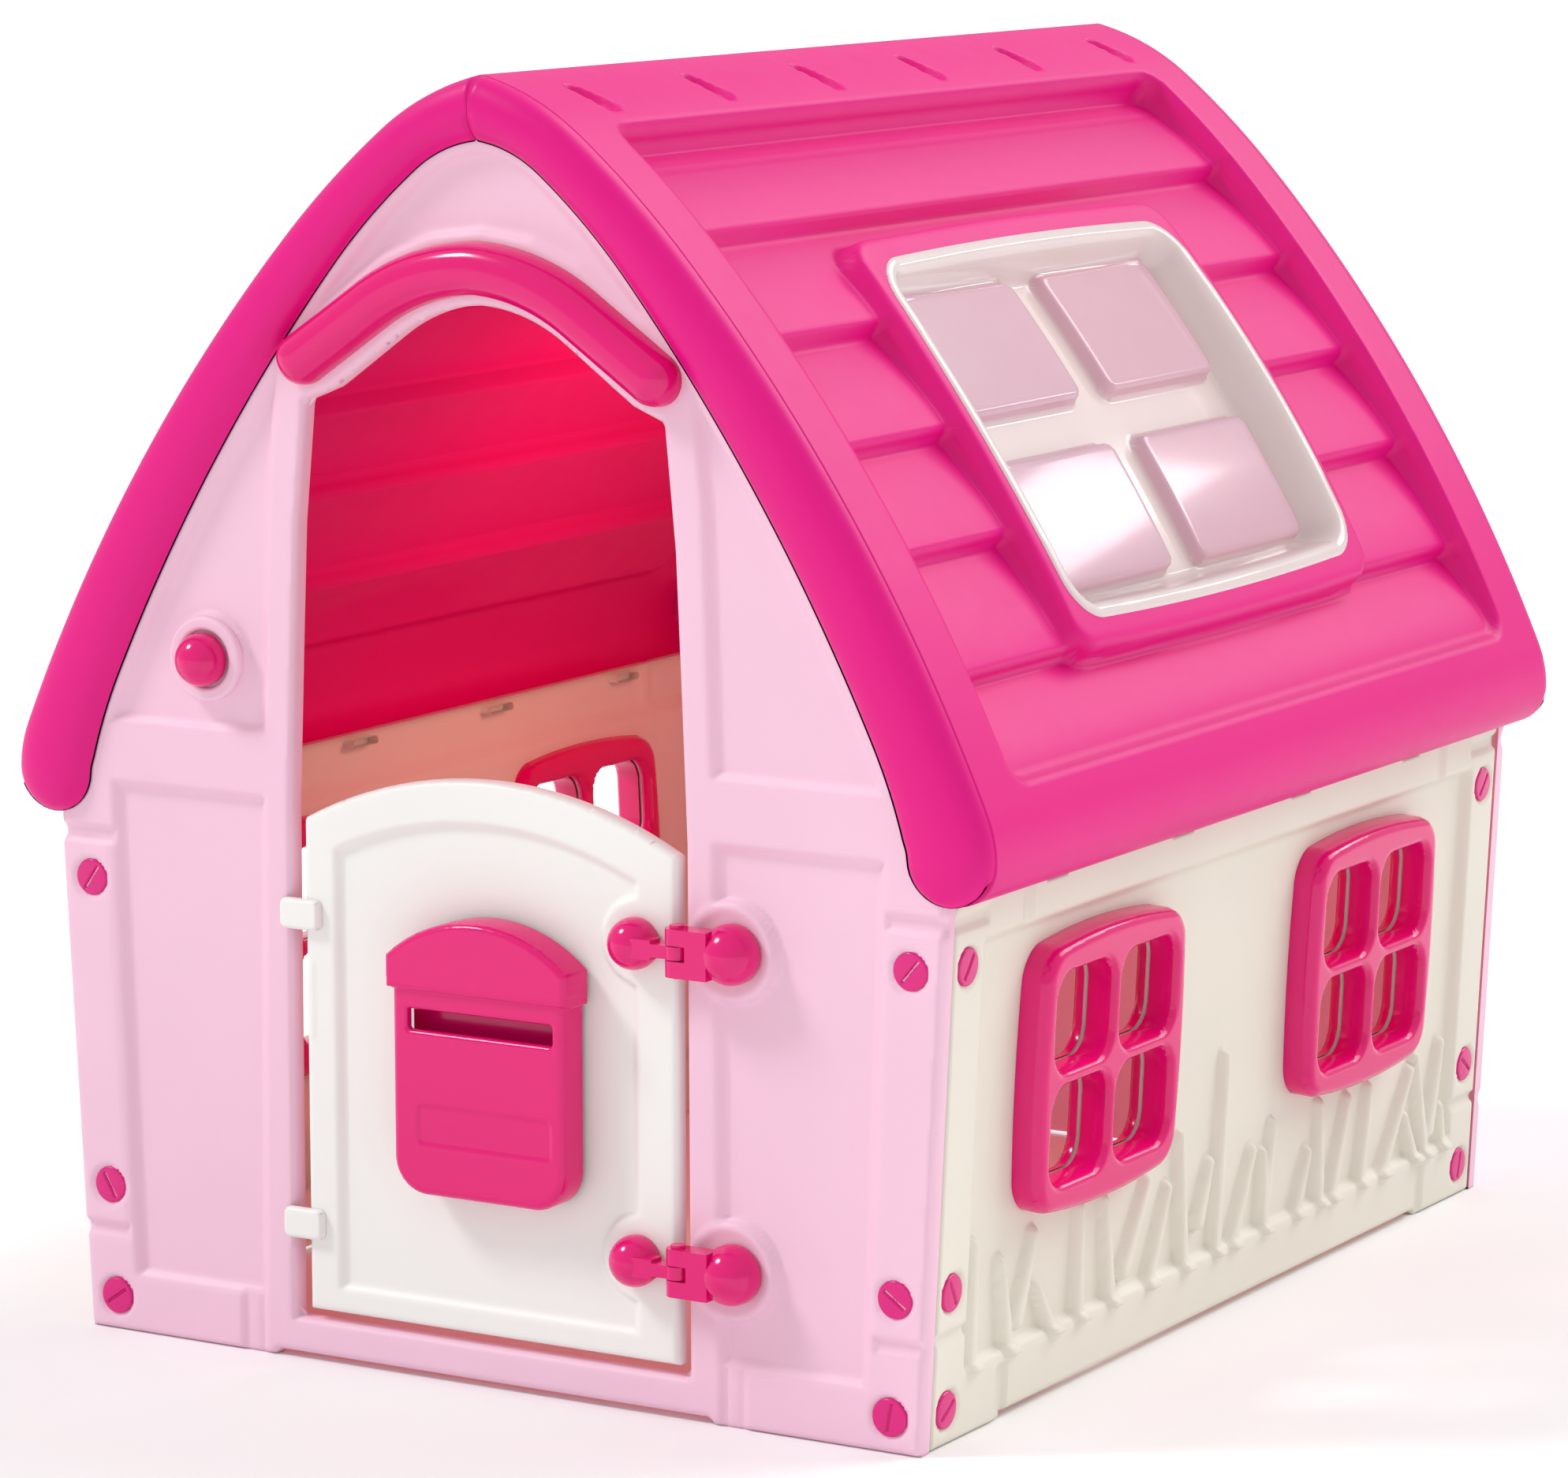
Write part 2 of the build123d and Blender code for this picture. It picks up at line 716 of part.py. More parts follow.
def roof_block(area, top, bottom):
    """Solid between two depths below the roof surface, inside an area drawn on the skylight's plane."""
    with BuildPart() as block:
        with BuildSketch(section(-skylight_width)):
            roof_strip(skylight_slope - 230, skylight_slope + 230, top, bottom)
        extrude(amount=-2 * skylight_width)
        with BuildSketch(skylight_plane):
            add(area)
        extrude(amount=100, both=True, mode=Mode.INTERSECT)
    return block.part


with BuildSketch() as well_inside:
    skylight_outline(skylight_rim + skylight_skin)

with BuildSketch() as under_rim_area:
    Rectangle(skylight_width + 20, skylight_height + 20)
    with BuildSketch(mode=Mode.PRIVATE) as well_area:
        skylight_outline(skylight_rim)
    add(well_area.sketch, mode=Mode.SUBTRACT)

with BuildSketch() as pane_blocks:
    with GridLocations(*pane_spacing, 2, 2):
        RectangleRounded(*pane_size, 16)

with BuildSketch() as pane_hollows:
    with GridLocations(*pane_spacing, 2, 2):
        RectangleRounded(pane_size[0] - 2 * skylight_skin, pane_size[1] - 2 * skylight_skin, 13)

skylight_bottom = skylight_floor + skylight_skin
whole_block = roof_block(skylight_area.sketch, skylight_depth, skylight_bottom)
well_block = roof_block(well_inside.sketch, -10, skylight_floor)
under_rim_block = roof_block(under_rim_area.sketch, surround_depth - 0.3, skylight_bottom + 10)
raised_panes = roof_block(pane_blocks.sketch, skylight_floor - pane_rise, skylight_floor + 1)
pane_undersides = roof_block(pane_hollows.sketch, skylight_floor - pane_rise + skylight_skin, skylight_bottom + 5)

with BuildPart() as skylight_right:
    add(whole_block)
    add(well_block, mode=Mode.SUBTRACT)
    add(under_rim_block, mode=Mode.SUBTRACT)
    add(raised_panes)
    add(pane_undersides, mode=Mode.SUBTRACT)
save(skylight_right.part, "skylight_right")
print("skylight")

# ------------------------------------------------- visor over the doorway

with BuildPart() as door_visor:
    with BuildSketch(section(-wall_half_depth)):
        with BuildLine():
            top, flank = arc_chain(1034, 1.9, [(209, 33.2)])
            Line(flank, (189, 944))
            mirror(about=Plane.YZ)
            offset(amount=24.5, side=Side.BOTH)
        make_face()
    extrude(amount=30)
    fillet(door_visor.faces().sort_by(Axis.Y)[0].edges(), radius=16)
save(door_visor.part, "door_visor")
print("visor")

# --------------------------------------------------------------------- screws


def screw(plane, slot_angle):
    """Slotted round-headed screw lying on a plane, its shank going below it."""
    with BuildPart() as piece:
        with BuildSketch(plane):
            Circle(screw_head_radius)
        extrude(amount=screw_head_rise)
        outward = piece.faces().sort_by(lambda face: plane.to_local_coords(face.center()).Z)[-1]
        fillet(outward.edges(), radius=3)
        with BuildSketch(plane.offset(screw_head_rise)):
            Rectangle(*screw_slot, rotation=slot_angle)
        extrude(amount=-3, mode=Mode.SUBTRACT)
        with BuildSketch(plane):
            Circle(screw_shank_radius)
        extrude(amount=-screw_length)
    return piece.part


def screw_plane(x, y, z, normal):
    """Plane of a screw's seat."""
    across = (1, 0, 0) if normal[0] == 0 else (0, 1, 0)
    return Plane(origin=(x, y, z), x_dir=across, z_dir=normal)


front_screws = []
right_screws = []
for index, height in enumerate(screw_heights):
    for side in (1, -1):
        turn = screw_slot_angles[2 * index + (side + 1) // 2]
        front_x = side * (screw_front_x + lean(height))
        front_screws.append(screw(screw_plane(front_x, -wall_half_depth, height, (0, -1, 0)), turn))
        seat_x = base_half_width + lean(height) + 1
        right_screws.append(screw(screw_plane(seat_x, side * screw_side_y, height, (1, 0, 0)), -turn))
for group, name, twin in ((front_screws, "front", "rear"), (right_screws, "right", "left")):
    with BuildPart() as screw_group:
        add(group)
    save(screw_group.part, f"wall_screws_{name}")
    save(half_turn(screw_group.part), f"wall_screws_{twin}")
print("screws")

# -------------------------------------------------------------- door and hinges

with BuildSketch() as door_area:
    with BuildLine():
        Polyline((door_free_side, door_shoulder), (door_free_side, door_bottom), (door_hinge_side, door_bottom),
                 (door_hinge_side, door_shoulder))
        ThreePointArc((door_hinge_side, door_shoulder), ((door_hinge_side + door_free_side) / 2, door_top),
                      (door_free_side, door_shoulder))
    make_face()

with BuildSketch() as door_field:
    with BuildLine():
        Polyline((-door_panel_side, door_panel_shoulder), (-door_panel_side, door_panel_bottom),
                 (door_panel_side, door_panel_bottom), (door_panel_side, door_panel_shoulder))
        ThreePointArc((door_panel_side, door_panel_shoulder), (0, door_panel_top),
                      (-door_panel_side, door_panel_shoulder))
    make_face()
    with Locations((door_ball_x, hinge_heights[0]), (door_ball_x, hinge_heights[1])):
        Circle(38, mode=Mode.SUBTRACT)

with BuildPart() as door_panel:
    with BuildSketch(section(door_front)):
        add(door_area.sketch)
    extrude(amount=-door_thickness)
    with BuildSketch(section(door_front + skin)):
        offset(door_area.sketch, amount=-skin, kind=Kind.INTERSECTION)
        offset(door_field.sketch, amount=skin, kind=Kind.INTERSECTION, mode=Mode.SUBTRACT)
    extrude(amount=-door_thickness, mode=Mode.SUBTRACT)
    with BuildSketch(section(door_front + door_panel_depth + skin)):
        offset(door_field.sketch, amount=skin, kind=Kind.INTERSECTION)
    extrude(amount=-door_thickness, mode=Mode.SUBTRACT)
    with BuildSketch(section(door_front)):
        add(door_field.sketch)
    extrude(amount=-door_panel_depth, mode=Mode.SUBTRACT)
    with BuildSketch(section(door_front)):
        for height in door_tab_heights:
            with Locations((door_free_side - 2, height)):
                RectangleRounded(44, 29, 6)
    extrude(amount=8)
save(door_panel.part, "door_panel")

for height, name in zip(hinge_heights, ("lower", "upper")):
    with BuildPart() as bracket:
        # ball on the wall, flat behind, with two ears around the door strap
        with BuildSketch(Plane.XY.offset(height)):
            with BuildLine():
                arc = ThreePointArc((wall_ball_x, hinge_y + 13 - wall_ball_radius),
                                    (wall_ball_x + wall_ball_radius, hinge_y + 13),
                                    (wall_ball_x, hinge_y + 13 + wall_ball_radius))
                Line(arc @ 0, arc @ 1)
            make_face()
        revolve(axis=Axis((wall_ball_x, 0, height), (0, 1, 0)))
        for low, high in ((height - 22, height - 7), (height + 7, height + 22)):
            with BuildSketch(Plane.XY.offset(low)):
                with Locations((hinge_x, hinge_y)):
                    Circle(knuckle_radius)
                with Locations(((hinge_x + wall_ball_x - 12) / 2, hinge_y)):
                    Rectangle(wall_ball_x - 12 - hinge_x, 2 * knuckle_radius)
            extrude(amount=high - low)
        # solid block behind the slot that the strap turns in
        with BuildSketch(Plane.XY.offset(height - 8)):
            with Locations((hinge_x + (slot_depth + wall_ball_x - 12 - hinge_x) / 2, hinge_y)):
                Rectangle(wall_ball_x - 12 - hinge_x - slot_depth, 2 * knuckle_radius)
        extrude(amount=16)
        with BuildSketch(Plane.XY.offset(height)):
            with Locations((hinge_x, hinge_y)):
                Circle(hinge_pin_radius + pin_clearance)
        extrude(amount=40, both=True, mode=Mode.SUBTRACT)
        with BuildSketch(section(-wall_half_depth - boss_rise)):
            with Locations((wall_ball_x - 20, height)):
                Rectangle(200, 200)
        extrude(amount=-60, mode=Mode.SUBTRACT)
    save(bracket.part, f"hinge_bracket_{name}")
    with BuildPart() as strap:
        with BuildSketch(Plane.XY.offset(height)):
            with BuildLine():
                arc = ThreePointArc((door_ball_x, door_front - 8 - door_ball_radius),
                                    (door_ball_x + door_ball_radius, door_front - 8),
                                    (door_ball_x, door_front - 8 + door_ball_radius))
                Line(arc @ 0, arc @ 1)
            make_face()
        revolve(axis=Axis((door_ball_x, 0, height), (0, 1, 0)))
        with BuildSketch(Plane.XY.offset(height - 6)):
            with Locations((hinge_x, hinge_y)):
                Circle(knuckle_radius)
            with Locations(((hinge_x + door_ball_x) / 2, hinge_y + 1)):
                Rectangle(hinge_x - door_ball_x, 18)
        extrude(amount=12)
        with BuildSketch(Plane.XY.offset(height - 9)):
            with Locations(((hinge_x - 24 + door_ball_x) / 2, hinge_y + 1)):
                Rectangle(hinge_x - 24 - door_ball_x, 18)
        extrude(amount=18)
        with BuildSketch(Plane.XY.offset(height)):
            with Locations((hinge_x, hinge_y)):
                Circle(hinge_pin_radius + pin_clearance)
        extrude(amount=40, both=True, mode=Mode.SUBTRACT)
        with BuildSketch(section(door_front)):
            with Locations((door_ball_x, height)):
                Rectangle(80, 80)
        extrude(amount=-60, mode=Mode.SUBTRACT)
    save(strap.part, f"door_strap_{name}")
    with BuildPart() as pin:
        with BuildSketch(Plane.XY.offset(height - 24)):
            with Locations((hinge_x, hinge_y)):
                Circle(hinge_pin_radius)
        extrude(amount=46)
        with BuildSketch(Plane.XY.offset(height + 22)):
            with Locations((hinge_x, hinge_y)):
                Circle(7)
        extrude(amount=3)
    save(pin.part, f"hinge_pin_{name}")
print("door")

# -------------------------------------------------------------------- mailbox

with BuildPart() as mailbox:
    with BuildSketch(section(door_front)):
        with Locations((mailbox_centre, (mailbox_bottom + mailbox_eave) / 2 + 5)):
            body = Rectangle(mailbox_width, mailbox_eave - mailbox_bottom + 10)
        fillet(body.vertices().group_by(Axis.Y)[0], radius=35)
    extrude(amount=mailbox_depth)
    with BuildSketch(section(door_front)):
        with BuildLine():
            left = mailbox_centre - cap_width / 2
            right = mailbox_centre + cap_width / 2
            Polyline((left, mailbox_shoulder - 26), (left, mailbox_eave), (right, mailbox_eave),
                     (right, mailbox_shoulder - 26))
            ThreePointArc((right, mailbox_shoulder - 26), (mailbox_centre, mailbox_top),
                          (left, mailbox_shoulder - 26))
        make_face()
    extrude(amount=cap_depth)
    front_edges = edges().filter_by_position(Axis.Y, door_front - cap_depth - 0.1, door_front - cap_depth + 0.1)
    fillet(front_edges, radius=4)
    with BuildSketch(section(door_front)):
        with Locations((mailbox_centre, (mailbox_bottom + mailbox_eave) / 2 + 5)):
            body = Rectangle(mailbox_width - 2 * mailbox_wall, mailbox_eave - mailbox_bottom)
        fillet(body.vertices().group_by(Axis.Y)[0], radius=32)
    extrude(amount=mailbox_depth - mailbox_wall, mode=Mode.SUBTRACT)
    with BuildSketch(section(door_front)):
        with Locations((mailbox_centre + 2, slot_height)):
            SlotOverall(*slot_size)
    extrude(amount=mailbox_depth + 1, mode=Mode.SUBTRACT)
    with BuildSketch(section(door_front - mailbox_depth)):
        with Locations((mailbox_centre + 2, label_height)):
            RectangleRounded(*label_size, 6)
    extrude(amount=-1, mode=Mode.SUBTRACT)
save(mailbox.part, "mailbox")
print("mailbox")

# ------------------------------------------------------------------- doorbell

bell_plane = section(-wall_half_depth)
with BuildPart() as doorbell_ring:
    with BuildSketch(bell_plane):
        with Locations((bell_x, bell_height)):
            Circle(bell_ring_radius)
            Circle(bell_radius + 2, mode=Mode.SUBTRACT)
    extrude(amount=7)
    fillet(doorbell_ring.faces().sort_by(Axis.Y)[0].edges(), radius=4)
save(doorbell_ring.part, "doorbell_ring")

with BuildPart() as doorbell_button:
    with BuildSketch(Plane.XY.offset(bell_height)):
        with BuildLine():
            middle_y = -wall_half_depth - 10
            arc = ThreePointArc((bell_x, middle_y - bell_radius), (bell_x + bell_radius, middle_y),
                                (bell_x, middle_y + bell_radius))
            Line(arc @ 0, arc @ 1)
        make_face()
    revolve(axis=Axis((bell_x, 0, bell_height), (0, 1, 0)))
    with BuildSketch(section(-wall_half_depth - bell_travel - 0.6)):
        with Locations((bell_x, bell_height)):
            Rectangle(100, 100)
    extrude(amount=-60, mode=Mode.SUBTRACT)
    with BuildSketch(section(-wall_half_depth - 12)):
        with Locations((bell_x, bell_height)):
            Circle(bell_stem_radius)
    extrude(amount=-32)
    with BuildSketch(section(-wall_half_depth + field_depth + skin + 0.5)):
        with Locations((bell_x, bell_height)):
            Circle(bell_stem_radius + 5)
    extrude(amount=-4)
save(doorbell_button.part, "doorbell_button")
print("done")
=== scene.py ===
import json
import math

import bpy
import numpy as np
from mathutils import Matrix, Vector


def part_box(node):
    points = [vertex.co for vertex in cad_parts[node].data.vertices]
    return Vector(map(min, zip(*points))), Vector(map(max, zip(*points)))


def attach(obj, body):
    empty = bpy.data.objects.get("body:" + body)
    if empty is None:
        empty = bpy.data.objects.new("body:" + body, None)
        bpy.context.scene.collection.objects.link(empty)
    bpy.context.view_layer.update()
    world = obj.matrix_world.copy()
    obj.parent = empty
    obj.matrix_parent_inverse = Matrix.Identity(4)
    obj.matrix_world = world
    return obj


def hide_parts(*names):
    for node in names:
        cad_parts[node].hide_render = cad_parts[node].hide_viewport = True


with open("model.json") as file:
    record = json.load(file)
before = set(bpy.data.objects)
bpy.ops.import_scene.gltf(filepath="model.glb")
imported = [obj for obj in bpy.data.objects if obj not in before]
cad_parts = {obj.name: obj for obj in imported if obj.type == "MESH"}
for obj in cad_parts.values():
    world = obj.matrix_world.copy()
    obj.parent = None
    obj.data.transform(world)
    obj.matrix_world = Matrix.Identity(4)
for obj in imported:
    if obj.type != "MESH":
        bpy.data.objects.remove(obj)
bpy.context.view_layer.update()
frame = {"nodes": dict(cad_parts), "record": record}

# Lengths are in millimetres until place_mesh() writes them in metres. Everything is drawn about the middle of
# the walls, and CENTRE_Y is where that middle lies in the frame.
MM = 0.001
wall_low, wall_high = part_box("left_wall")
CENTRE_Y = (wall_low.y + wall_high.y) / 2 / MM

# Driving dimensions, the same as the frame's
WALL_Y = 596
SIDE_Y = 575.5
SIDE_TOP = 508
BASE_X = 455.6
LEAN = 0.0505
SKIN = 4
# Height and slope in degrees at the middle of the house, then the radius and the turn in degrees of each arc
ROOF_LINE = (1206, 13.2, [(262, 25.4), (917, 8.9), (1728, 18.9), (115, 23.5), (38, 95)])
BARGE_LINE = (1147, 6.6, [(127, 32.1), (629, 11.8), (1899, 14.2), (480, 13.3)])
# Distance of each board's upper edge from the ridge
BOARD_STEPS = [108, 235, 356, 475, 587, 707, 812]
WINDOWS = [-291, 266]
WINDOW_Z = 308
SCREW_Z = [33, 141, 438]
HINGE_Z = [145, 437]


# ------------------------------------------------------------------ distances
# Each returns how far a point lies inside a shape, negative outside.


def in_polygon(u, v, points):
    """Signed distance to a closed polygon."""
    pts = np.array(points, float)
    best = np.full(u.shape, 1e18)
    inside = np.zeros(u.shape, bool)
    for (ax, ay), (bx, by) in zip(pts, np.roll(pts, -1, axis=0)):
        ex, ey = bx - ax, by - ay
        wx, wy = u - ax, v - ay
        t = np.clip((wx * ex + wy * ey) / (ex * ex + ey * ey + 1e-12), 0, 1)
        best = np.minimum(best, (wx - ex * t) ** 2 + (wy - ey * t) ** 2)
        crosses = (ay > v) != (by > v)
        with np.errstate(divide="ignore", invalid="ignore"):
            inside ^= crosses & (u < (bx - ax) * (v - ay) / (by - ay + 1e-12) + ax)
    return np.where(inside, 1, -1) * np.sqrt(best)


def in_box(u, v, centre, half, radius=0):
    """Signed distance to a rounded rectangle."""
    qx = np.abs(u - centre[0]) - half[0] + radius
    qy = np.abs(v - centre[1]) - half[1] + radius
    outside = np.hypot(np.maximum(qx, 0), np.maximum(qy, 0))
    return radius - outside - np.minimum(np.maximum(qx, qy), 0)


def in_bowed_box(u, v, centre, half, bow, radius):
    """Rounded rectangle whose sides bulge by bow at their middle."""
    du, dv = u - centre[0], v - centre[1]
    wide = half[0] + bow[0] * (1 - np.clip(dv / half[1], -1, 1) ** 2)
    high = half[1] + bow[1] * (1 - np.clip(du / half[0], -1, 1) ** 2)
    return in_box(du, dv, (0, 0), (wide, high), radius)


def in_circle(u, v, centre, radius):
    return radius - np.hypot(u - centre[0], v - centre[1])


def in_blade(u, v, foot, tip, foot_radius, tip_radius):
    """A capsule that tapers from its foot to its tip."""
    ex, ey = tip[0] - foot[0], tip[1] - foot[1]
    t = np.clip(((u - foot[0]) * ex + (v - foot[1]) * ey) / (ex * ex + ey * ey), 0, 1)
    reach = foot_radius + (tip_radius - foot_radius) * t
    return reach - np.hypot(u - foot[0] - ex * t, v - foot[1] - ey * t)


def bank(distance, width):
    """0 outside, 1 inside, with a smooth slope of that width across the edge."""
    t = np.clip(distance / width + 0.5, 0, 1)
    return t * t * (3 - 2 * t)


def round_edge(distance, radius):
    """Drop of a quarter-round edge, 0 from radius inwards."""
    t = np.clip(1 - distance / radius, 0, 1)
    return radius * (1 - np.sqrt(1 - t * t))


# ---------------------------------------------------------------------- lines


class ArcLine:
    """A chain of tangent arcs from the middle of the roof down to the right."""

    def __init__(self, height, slope, arcs):
        lengths = [radius * math.radians(turn) for radius, turn in arcs]
        knots = np.concatenate([[0], np.cumsum(lengths)])
        turns = slope + np.concatenate([[0], np.cumsum([turn for _, turn in arcs])])
        self.length = knots[-1]
        self.s = np.linspace(0, self.length, 4000)
        self.angle = np.radians(np.interp(self.s, knots, turns))
        step = np.diff(self.s)
        middle = (self.angle[1:] + self.angle[:-1]) / 2
        self.x = np.concatenate([[0], np.cumsum(np.cos(middle) * step)])
        self.z = height - np.concatenate([[0], np.cumsum(np.sin(middle) * step)])
        self.upright = float(np.interp(90, np.degrees(self.angle), self.s))

    def at(self, s, depth=0):
        """x, z at distance s down the line, depth below it."""
        angle = np.interp(s, self.s, self.angle)
        x = np.interp(s, self.s, self.x) - depth * np.sin(angle)
        return x, np.interp(s, self.s, self.z) - depth * np.cos(angle)


roof_line = ArcLine(*ROOF_LINE)
barge_line = ArcLine(*BARGE_LINE)


# --------------------------------------------------------------------- meshes


def place_mesh(name, vertices, faces, node, material, body="house"):
    """A finished piece: vertices in millimetres about the middle of the walls, standing for a CAD node."""
    points = np.asarray(vertices, float).reshape(-1, 3).copy()
    points[:, 1] += CENTRE_Y
    mesh = bpy.data.meshes.new(name)
    mesh.from_pydata((points * MM).tolist(), [], [list(map(int, face)) for face in faces])
    mesh.update()
    mesh.polygons.foreach_set("use_smooth", [True] * len(mesh.polygons))
    piece = bpy.data.objects.new(name, mesh)
    bpy.context.scene.collection.objects.link(piece)
    mesh.materials.append(material)
    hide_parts(node)
    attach(piece, body)
    return piece


def edge_loop(faces):
    """Edges that only one face uses, in that face's direction."""
    pairs = []
    for face in faces:
        face = np.asarray(face)
        for k in range(face.shape[1]):
            pairs.append(np.stack([face[:, k], face[:, (k + 1) % face.shape[1]]], axis=1))
    pairs = np.concatenate(pairs)
    key = np.sort(pairs, axis=1)
    _, index, counts = np.unique(key, axis=0, return_index=True, return_counts=True)
    return pairs[index[counts == 1]]


def sheet(u_range, v_range, step, inside):
    """Grid over (u, v) cut to where inside(u, v) is above 0. Its two outer rings of points follow the outline."""
    us = np.linspace(*u_range, int(round((u_range[1] - u_range[0]) / step)) + 1)
    vs = np.linspace(*v_range, int(round((v_range[1] - v_range[0]) / step)) + 1)
    u, v = np.meshgrid(us, vs, indexing="ij")
    tiny = 0.05
    ring = None
    for _ in range(3):
        d = inside(u, v)
        gu = (inside(u + tiny, v) - d) / tiny
        gv = (inside(u, v + tiny) - d) / tiny
        size = np.maximum(np.hypot(gu, gv), 0.3)
        away = d / size
        if ring is None:
            ring = np.clip(np.round(away / step), 0, 1) * step
            near = (away > -0.5 * step) & (away < 1.5 * step)
            kept = away > -0.5 * step
        move = np.where(near, np.clip(away - ring, -0.6 * step, 0.6 * step), 0)
        u, v = u - move * gu / size, v - move * gv / size
    ids = np.arange(u.size).reshape(u.shape)
    corners = [(ids[:-1, :-1], kept[:-1, :-1]), (ids[1:, :-1], kept[1:, :-1]), (ids[1:, 1:], kept[1:, 1:]),
               (ids[:-1, 1:], kept[:-1, 1:])]
    present = sum(k.astype(int) for _, k in corners)
    quads = np.stack([i for i, _ in corners], axis=-1)[present == 4]
    tris = []
    for missing in range(4):
        others = [i for k, (i, _) in enumerate(corners) if k != missing]
        tris.append(np.stack(others, axis=-1)[(present == 3) & ~corners[missing][1]])
    tris = np.concatenate(tris)
    used = np.unique(np.concatenate([quads.ravel(), tris.ravel()]))
    renumber = np.full(u.size, -1)
    renumber[used] = np.arange(len(used))
    return u.ravel()[used], v.ravel()[used], renumber[quads], renumber[tris]


def relief(u_range, v_range, step, inside, height, place, rim=None, skin=SKIN, back_step=8.0):
    """Moulded skin over (u, v) with a height at each point. Returns its points, faces and (u, v).

    rim is the height that its edges fold back to, or a function of (u, v) that gives it. Without one they fold
    back by the skin. A skin of 0 leaves out the back."""
    u, v, quads, tris = sheet(u_range, v_range, step, inside)
    h = height(u, v)
    points, places = [np.stack(place(u, v, h), axis=1)], [np.stack([u, v], axis=1)]
    faces = quads.tolist() + tris.tolist()
    loose = edge_loop([quads, tris] if len(tris) else [quads])
    ends = np.unique(loose)
    low = np.full(len(u), -1)
    low[ends] = len(u) + np.arange(len(ends))
    if rim is None:
        fold = h[ends] - skin
    else:
        fold = rim(u[ends], v[ends]) if callable(rim) else np.full(len(ends), float(rim))
    points.append(np.stack(place(u[ends], v[ends], fold), axis=1))
    places.append(places[0][ends])
    faces += np.stack([loose[:, 1], loose[:, 0], low[loose[:, 0]], low[loose[:, 1]]], axis=1).tolist()
    if skin:
        count = len(u) + len(ends)
        u, v, quads, tris = sheet(u_range, v_range, back_step, inside)
        points.append(np.stack(place(u, v, height(u, v) - skin), axis=1))
        places.append(np.stack([u, v], axis=1))
        faces += (quads[:, ::-1] + count).tolist() + (tris[:, ::-1] + count).tolist()
    return np.concatenate(points), faces, np.concatenate(places)


def sweep(sections):
    """Closed tube through section loops, all with as many points."""
    rings = np.array(sections)
    count, size = rings.shape[:2]
    faces = []
    for i in range(count - 1):
        for k in range(size):
            a, b = i * size + k, i * size + (k + 1) % size
            faces.append((a, b, b + size, a + size))
    faces.append(tuple(range(size - 1, -1, -1)))
    faces.append(tuple((count - 1) * size + k for k in range(size)))
    return rings.reshape(-1, 3), faces


def joined(parts):
    """One mesh from several, each given as points and faces."""
    points, faces, count = [], [], 0
    for part_points, part_faces in parts:
        points.append(part_points)
        faces += [tuple(i + count for i in face) for face in part_faces]
        count += len(part_points)
    return np.concatenate(points), faces


def half_turn(points):
    """The same moulding turned half way round the house."""
    return points * np.array([-1, -1, 1])


def level(h, target, weight):
    """Heights h, moved to the target height where weight is 1."""
    return h * (1 - weight) + target * weight


def rounded(x, power):
    """Coordinate on a superellipse, from the coordinate x on a unit circle."""
    return np.sign(x) * np.abs(x) ** power


# ------------------------------------------------------------------ materials

# Sockets of a Mix node that mixes colours. Their names repeat for each type of data, so they go by number.
MIX_A, MIX_B, MIX_RESULT = 6, 7, 2
COLOUR_VARIATION = 0.04


def plastic(name, colour, roughness, grain=0.15, coat=0.0, through=0.0):
    """Moulded plastic: slight cloudiness in colour and gloss, a fine grain, and some light let through."""
    material = bpy.data.materials.new(name)
    material.use_nodes = True
    nodes, links = material.node_tree.nodes, material.node_tree.links
    shader = nodes["Principled BSDF"]
    place = nodes.new("ShaderNodeTexCoord")

    def noise(scale, detail):
        node = nodes.new("ShaderNodeTexNoise")
        node.inputs["Scale"].default_value = scale
        node.inputs["Detail"].default_value = detail
        links.new(place.outputs["Object"], node.inputs["Vector"])
        return node.outputs["Fac"]

    tint = nodes.new("ShaderNodeMix")
    tint.data_type = "RGBA"
    tint.inputs[MIX_A].default_value = (*[c * (1 - COLOUR_VARIATION) for c in colour], 1)
    tint.inputs[MIX_B].default_value = (*[min(1, c * (1 + COLOUR_VARIATION)) for c in colour], 1)
    links.new(noise(5, 4), tint.inputs["Factor"])
    links.new(tint.outputs[MIX_RESULT], shader.inputs["Base Color"])
    gloss = nodes.new("ShaderNodeMapRange")
    gloss.inputs["To Min"].default_value = roughness - 0.05
    gloss.inputs["To Max"].default_value = roughness + 0.06
    links.new(noise(40, 6), gloss.inputs["Value"])
    links.new(gloss.outputs["Result"], shader.inputs["Roughness"])
    bump = nodes.new("ShaderNodeBump")
    bump.inputs["Strength"].default_value = grain
    bump.inputs["Distance"].default_value = 0.0003
    links.new(noise(500, 3), bump.inputs["Height"])
    links.new(bump.outputs["Normal"], shader.inputs["Normal"])
    shader.inputs["Specular IOR Level"].default_value = 0.3
    shader.inputs["Coat Weight"].default_value = coat
    shader.inputs["Coat Roughness"].default_value = 0.06
    if through:
        glow = nodes.new("ShaderNodeBsdfTranslucent")
        links.new(tint.outputs[MIX_RESULT], glow.inputs["Color"])
        both = nodes.new("ShaderNodeMixShader")
        both.inputs[0].default_value = through
        links.new(shader.outputs["BSDF"], both.inputs[1])
        links.new(glow.outputs["BSDF"], both.inputs[2])
        links.new(both.outputs["Shader"], nodes["Material Output"].inputs["Surface"])
    return material


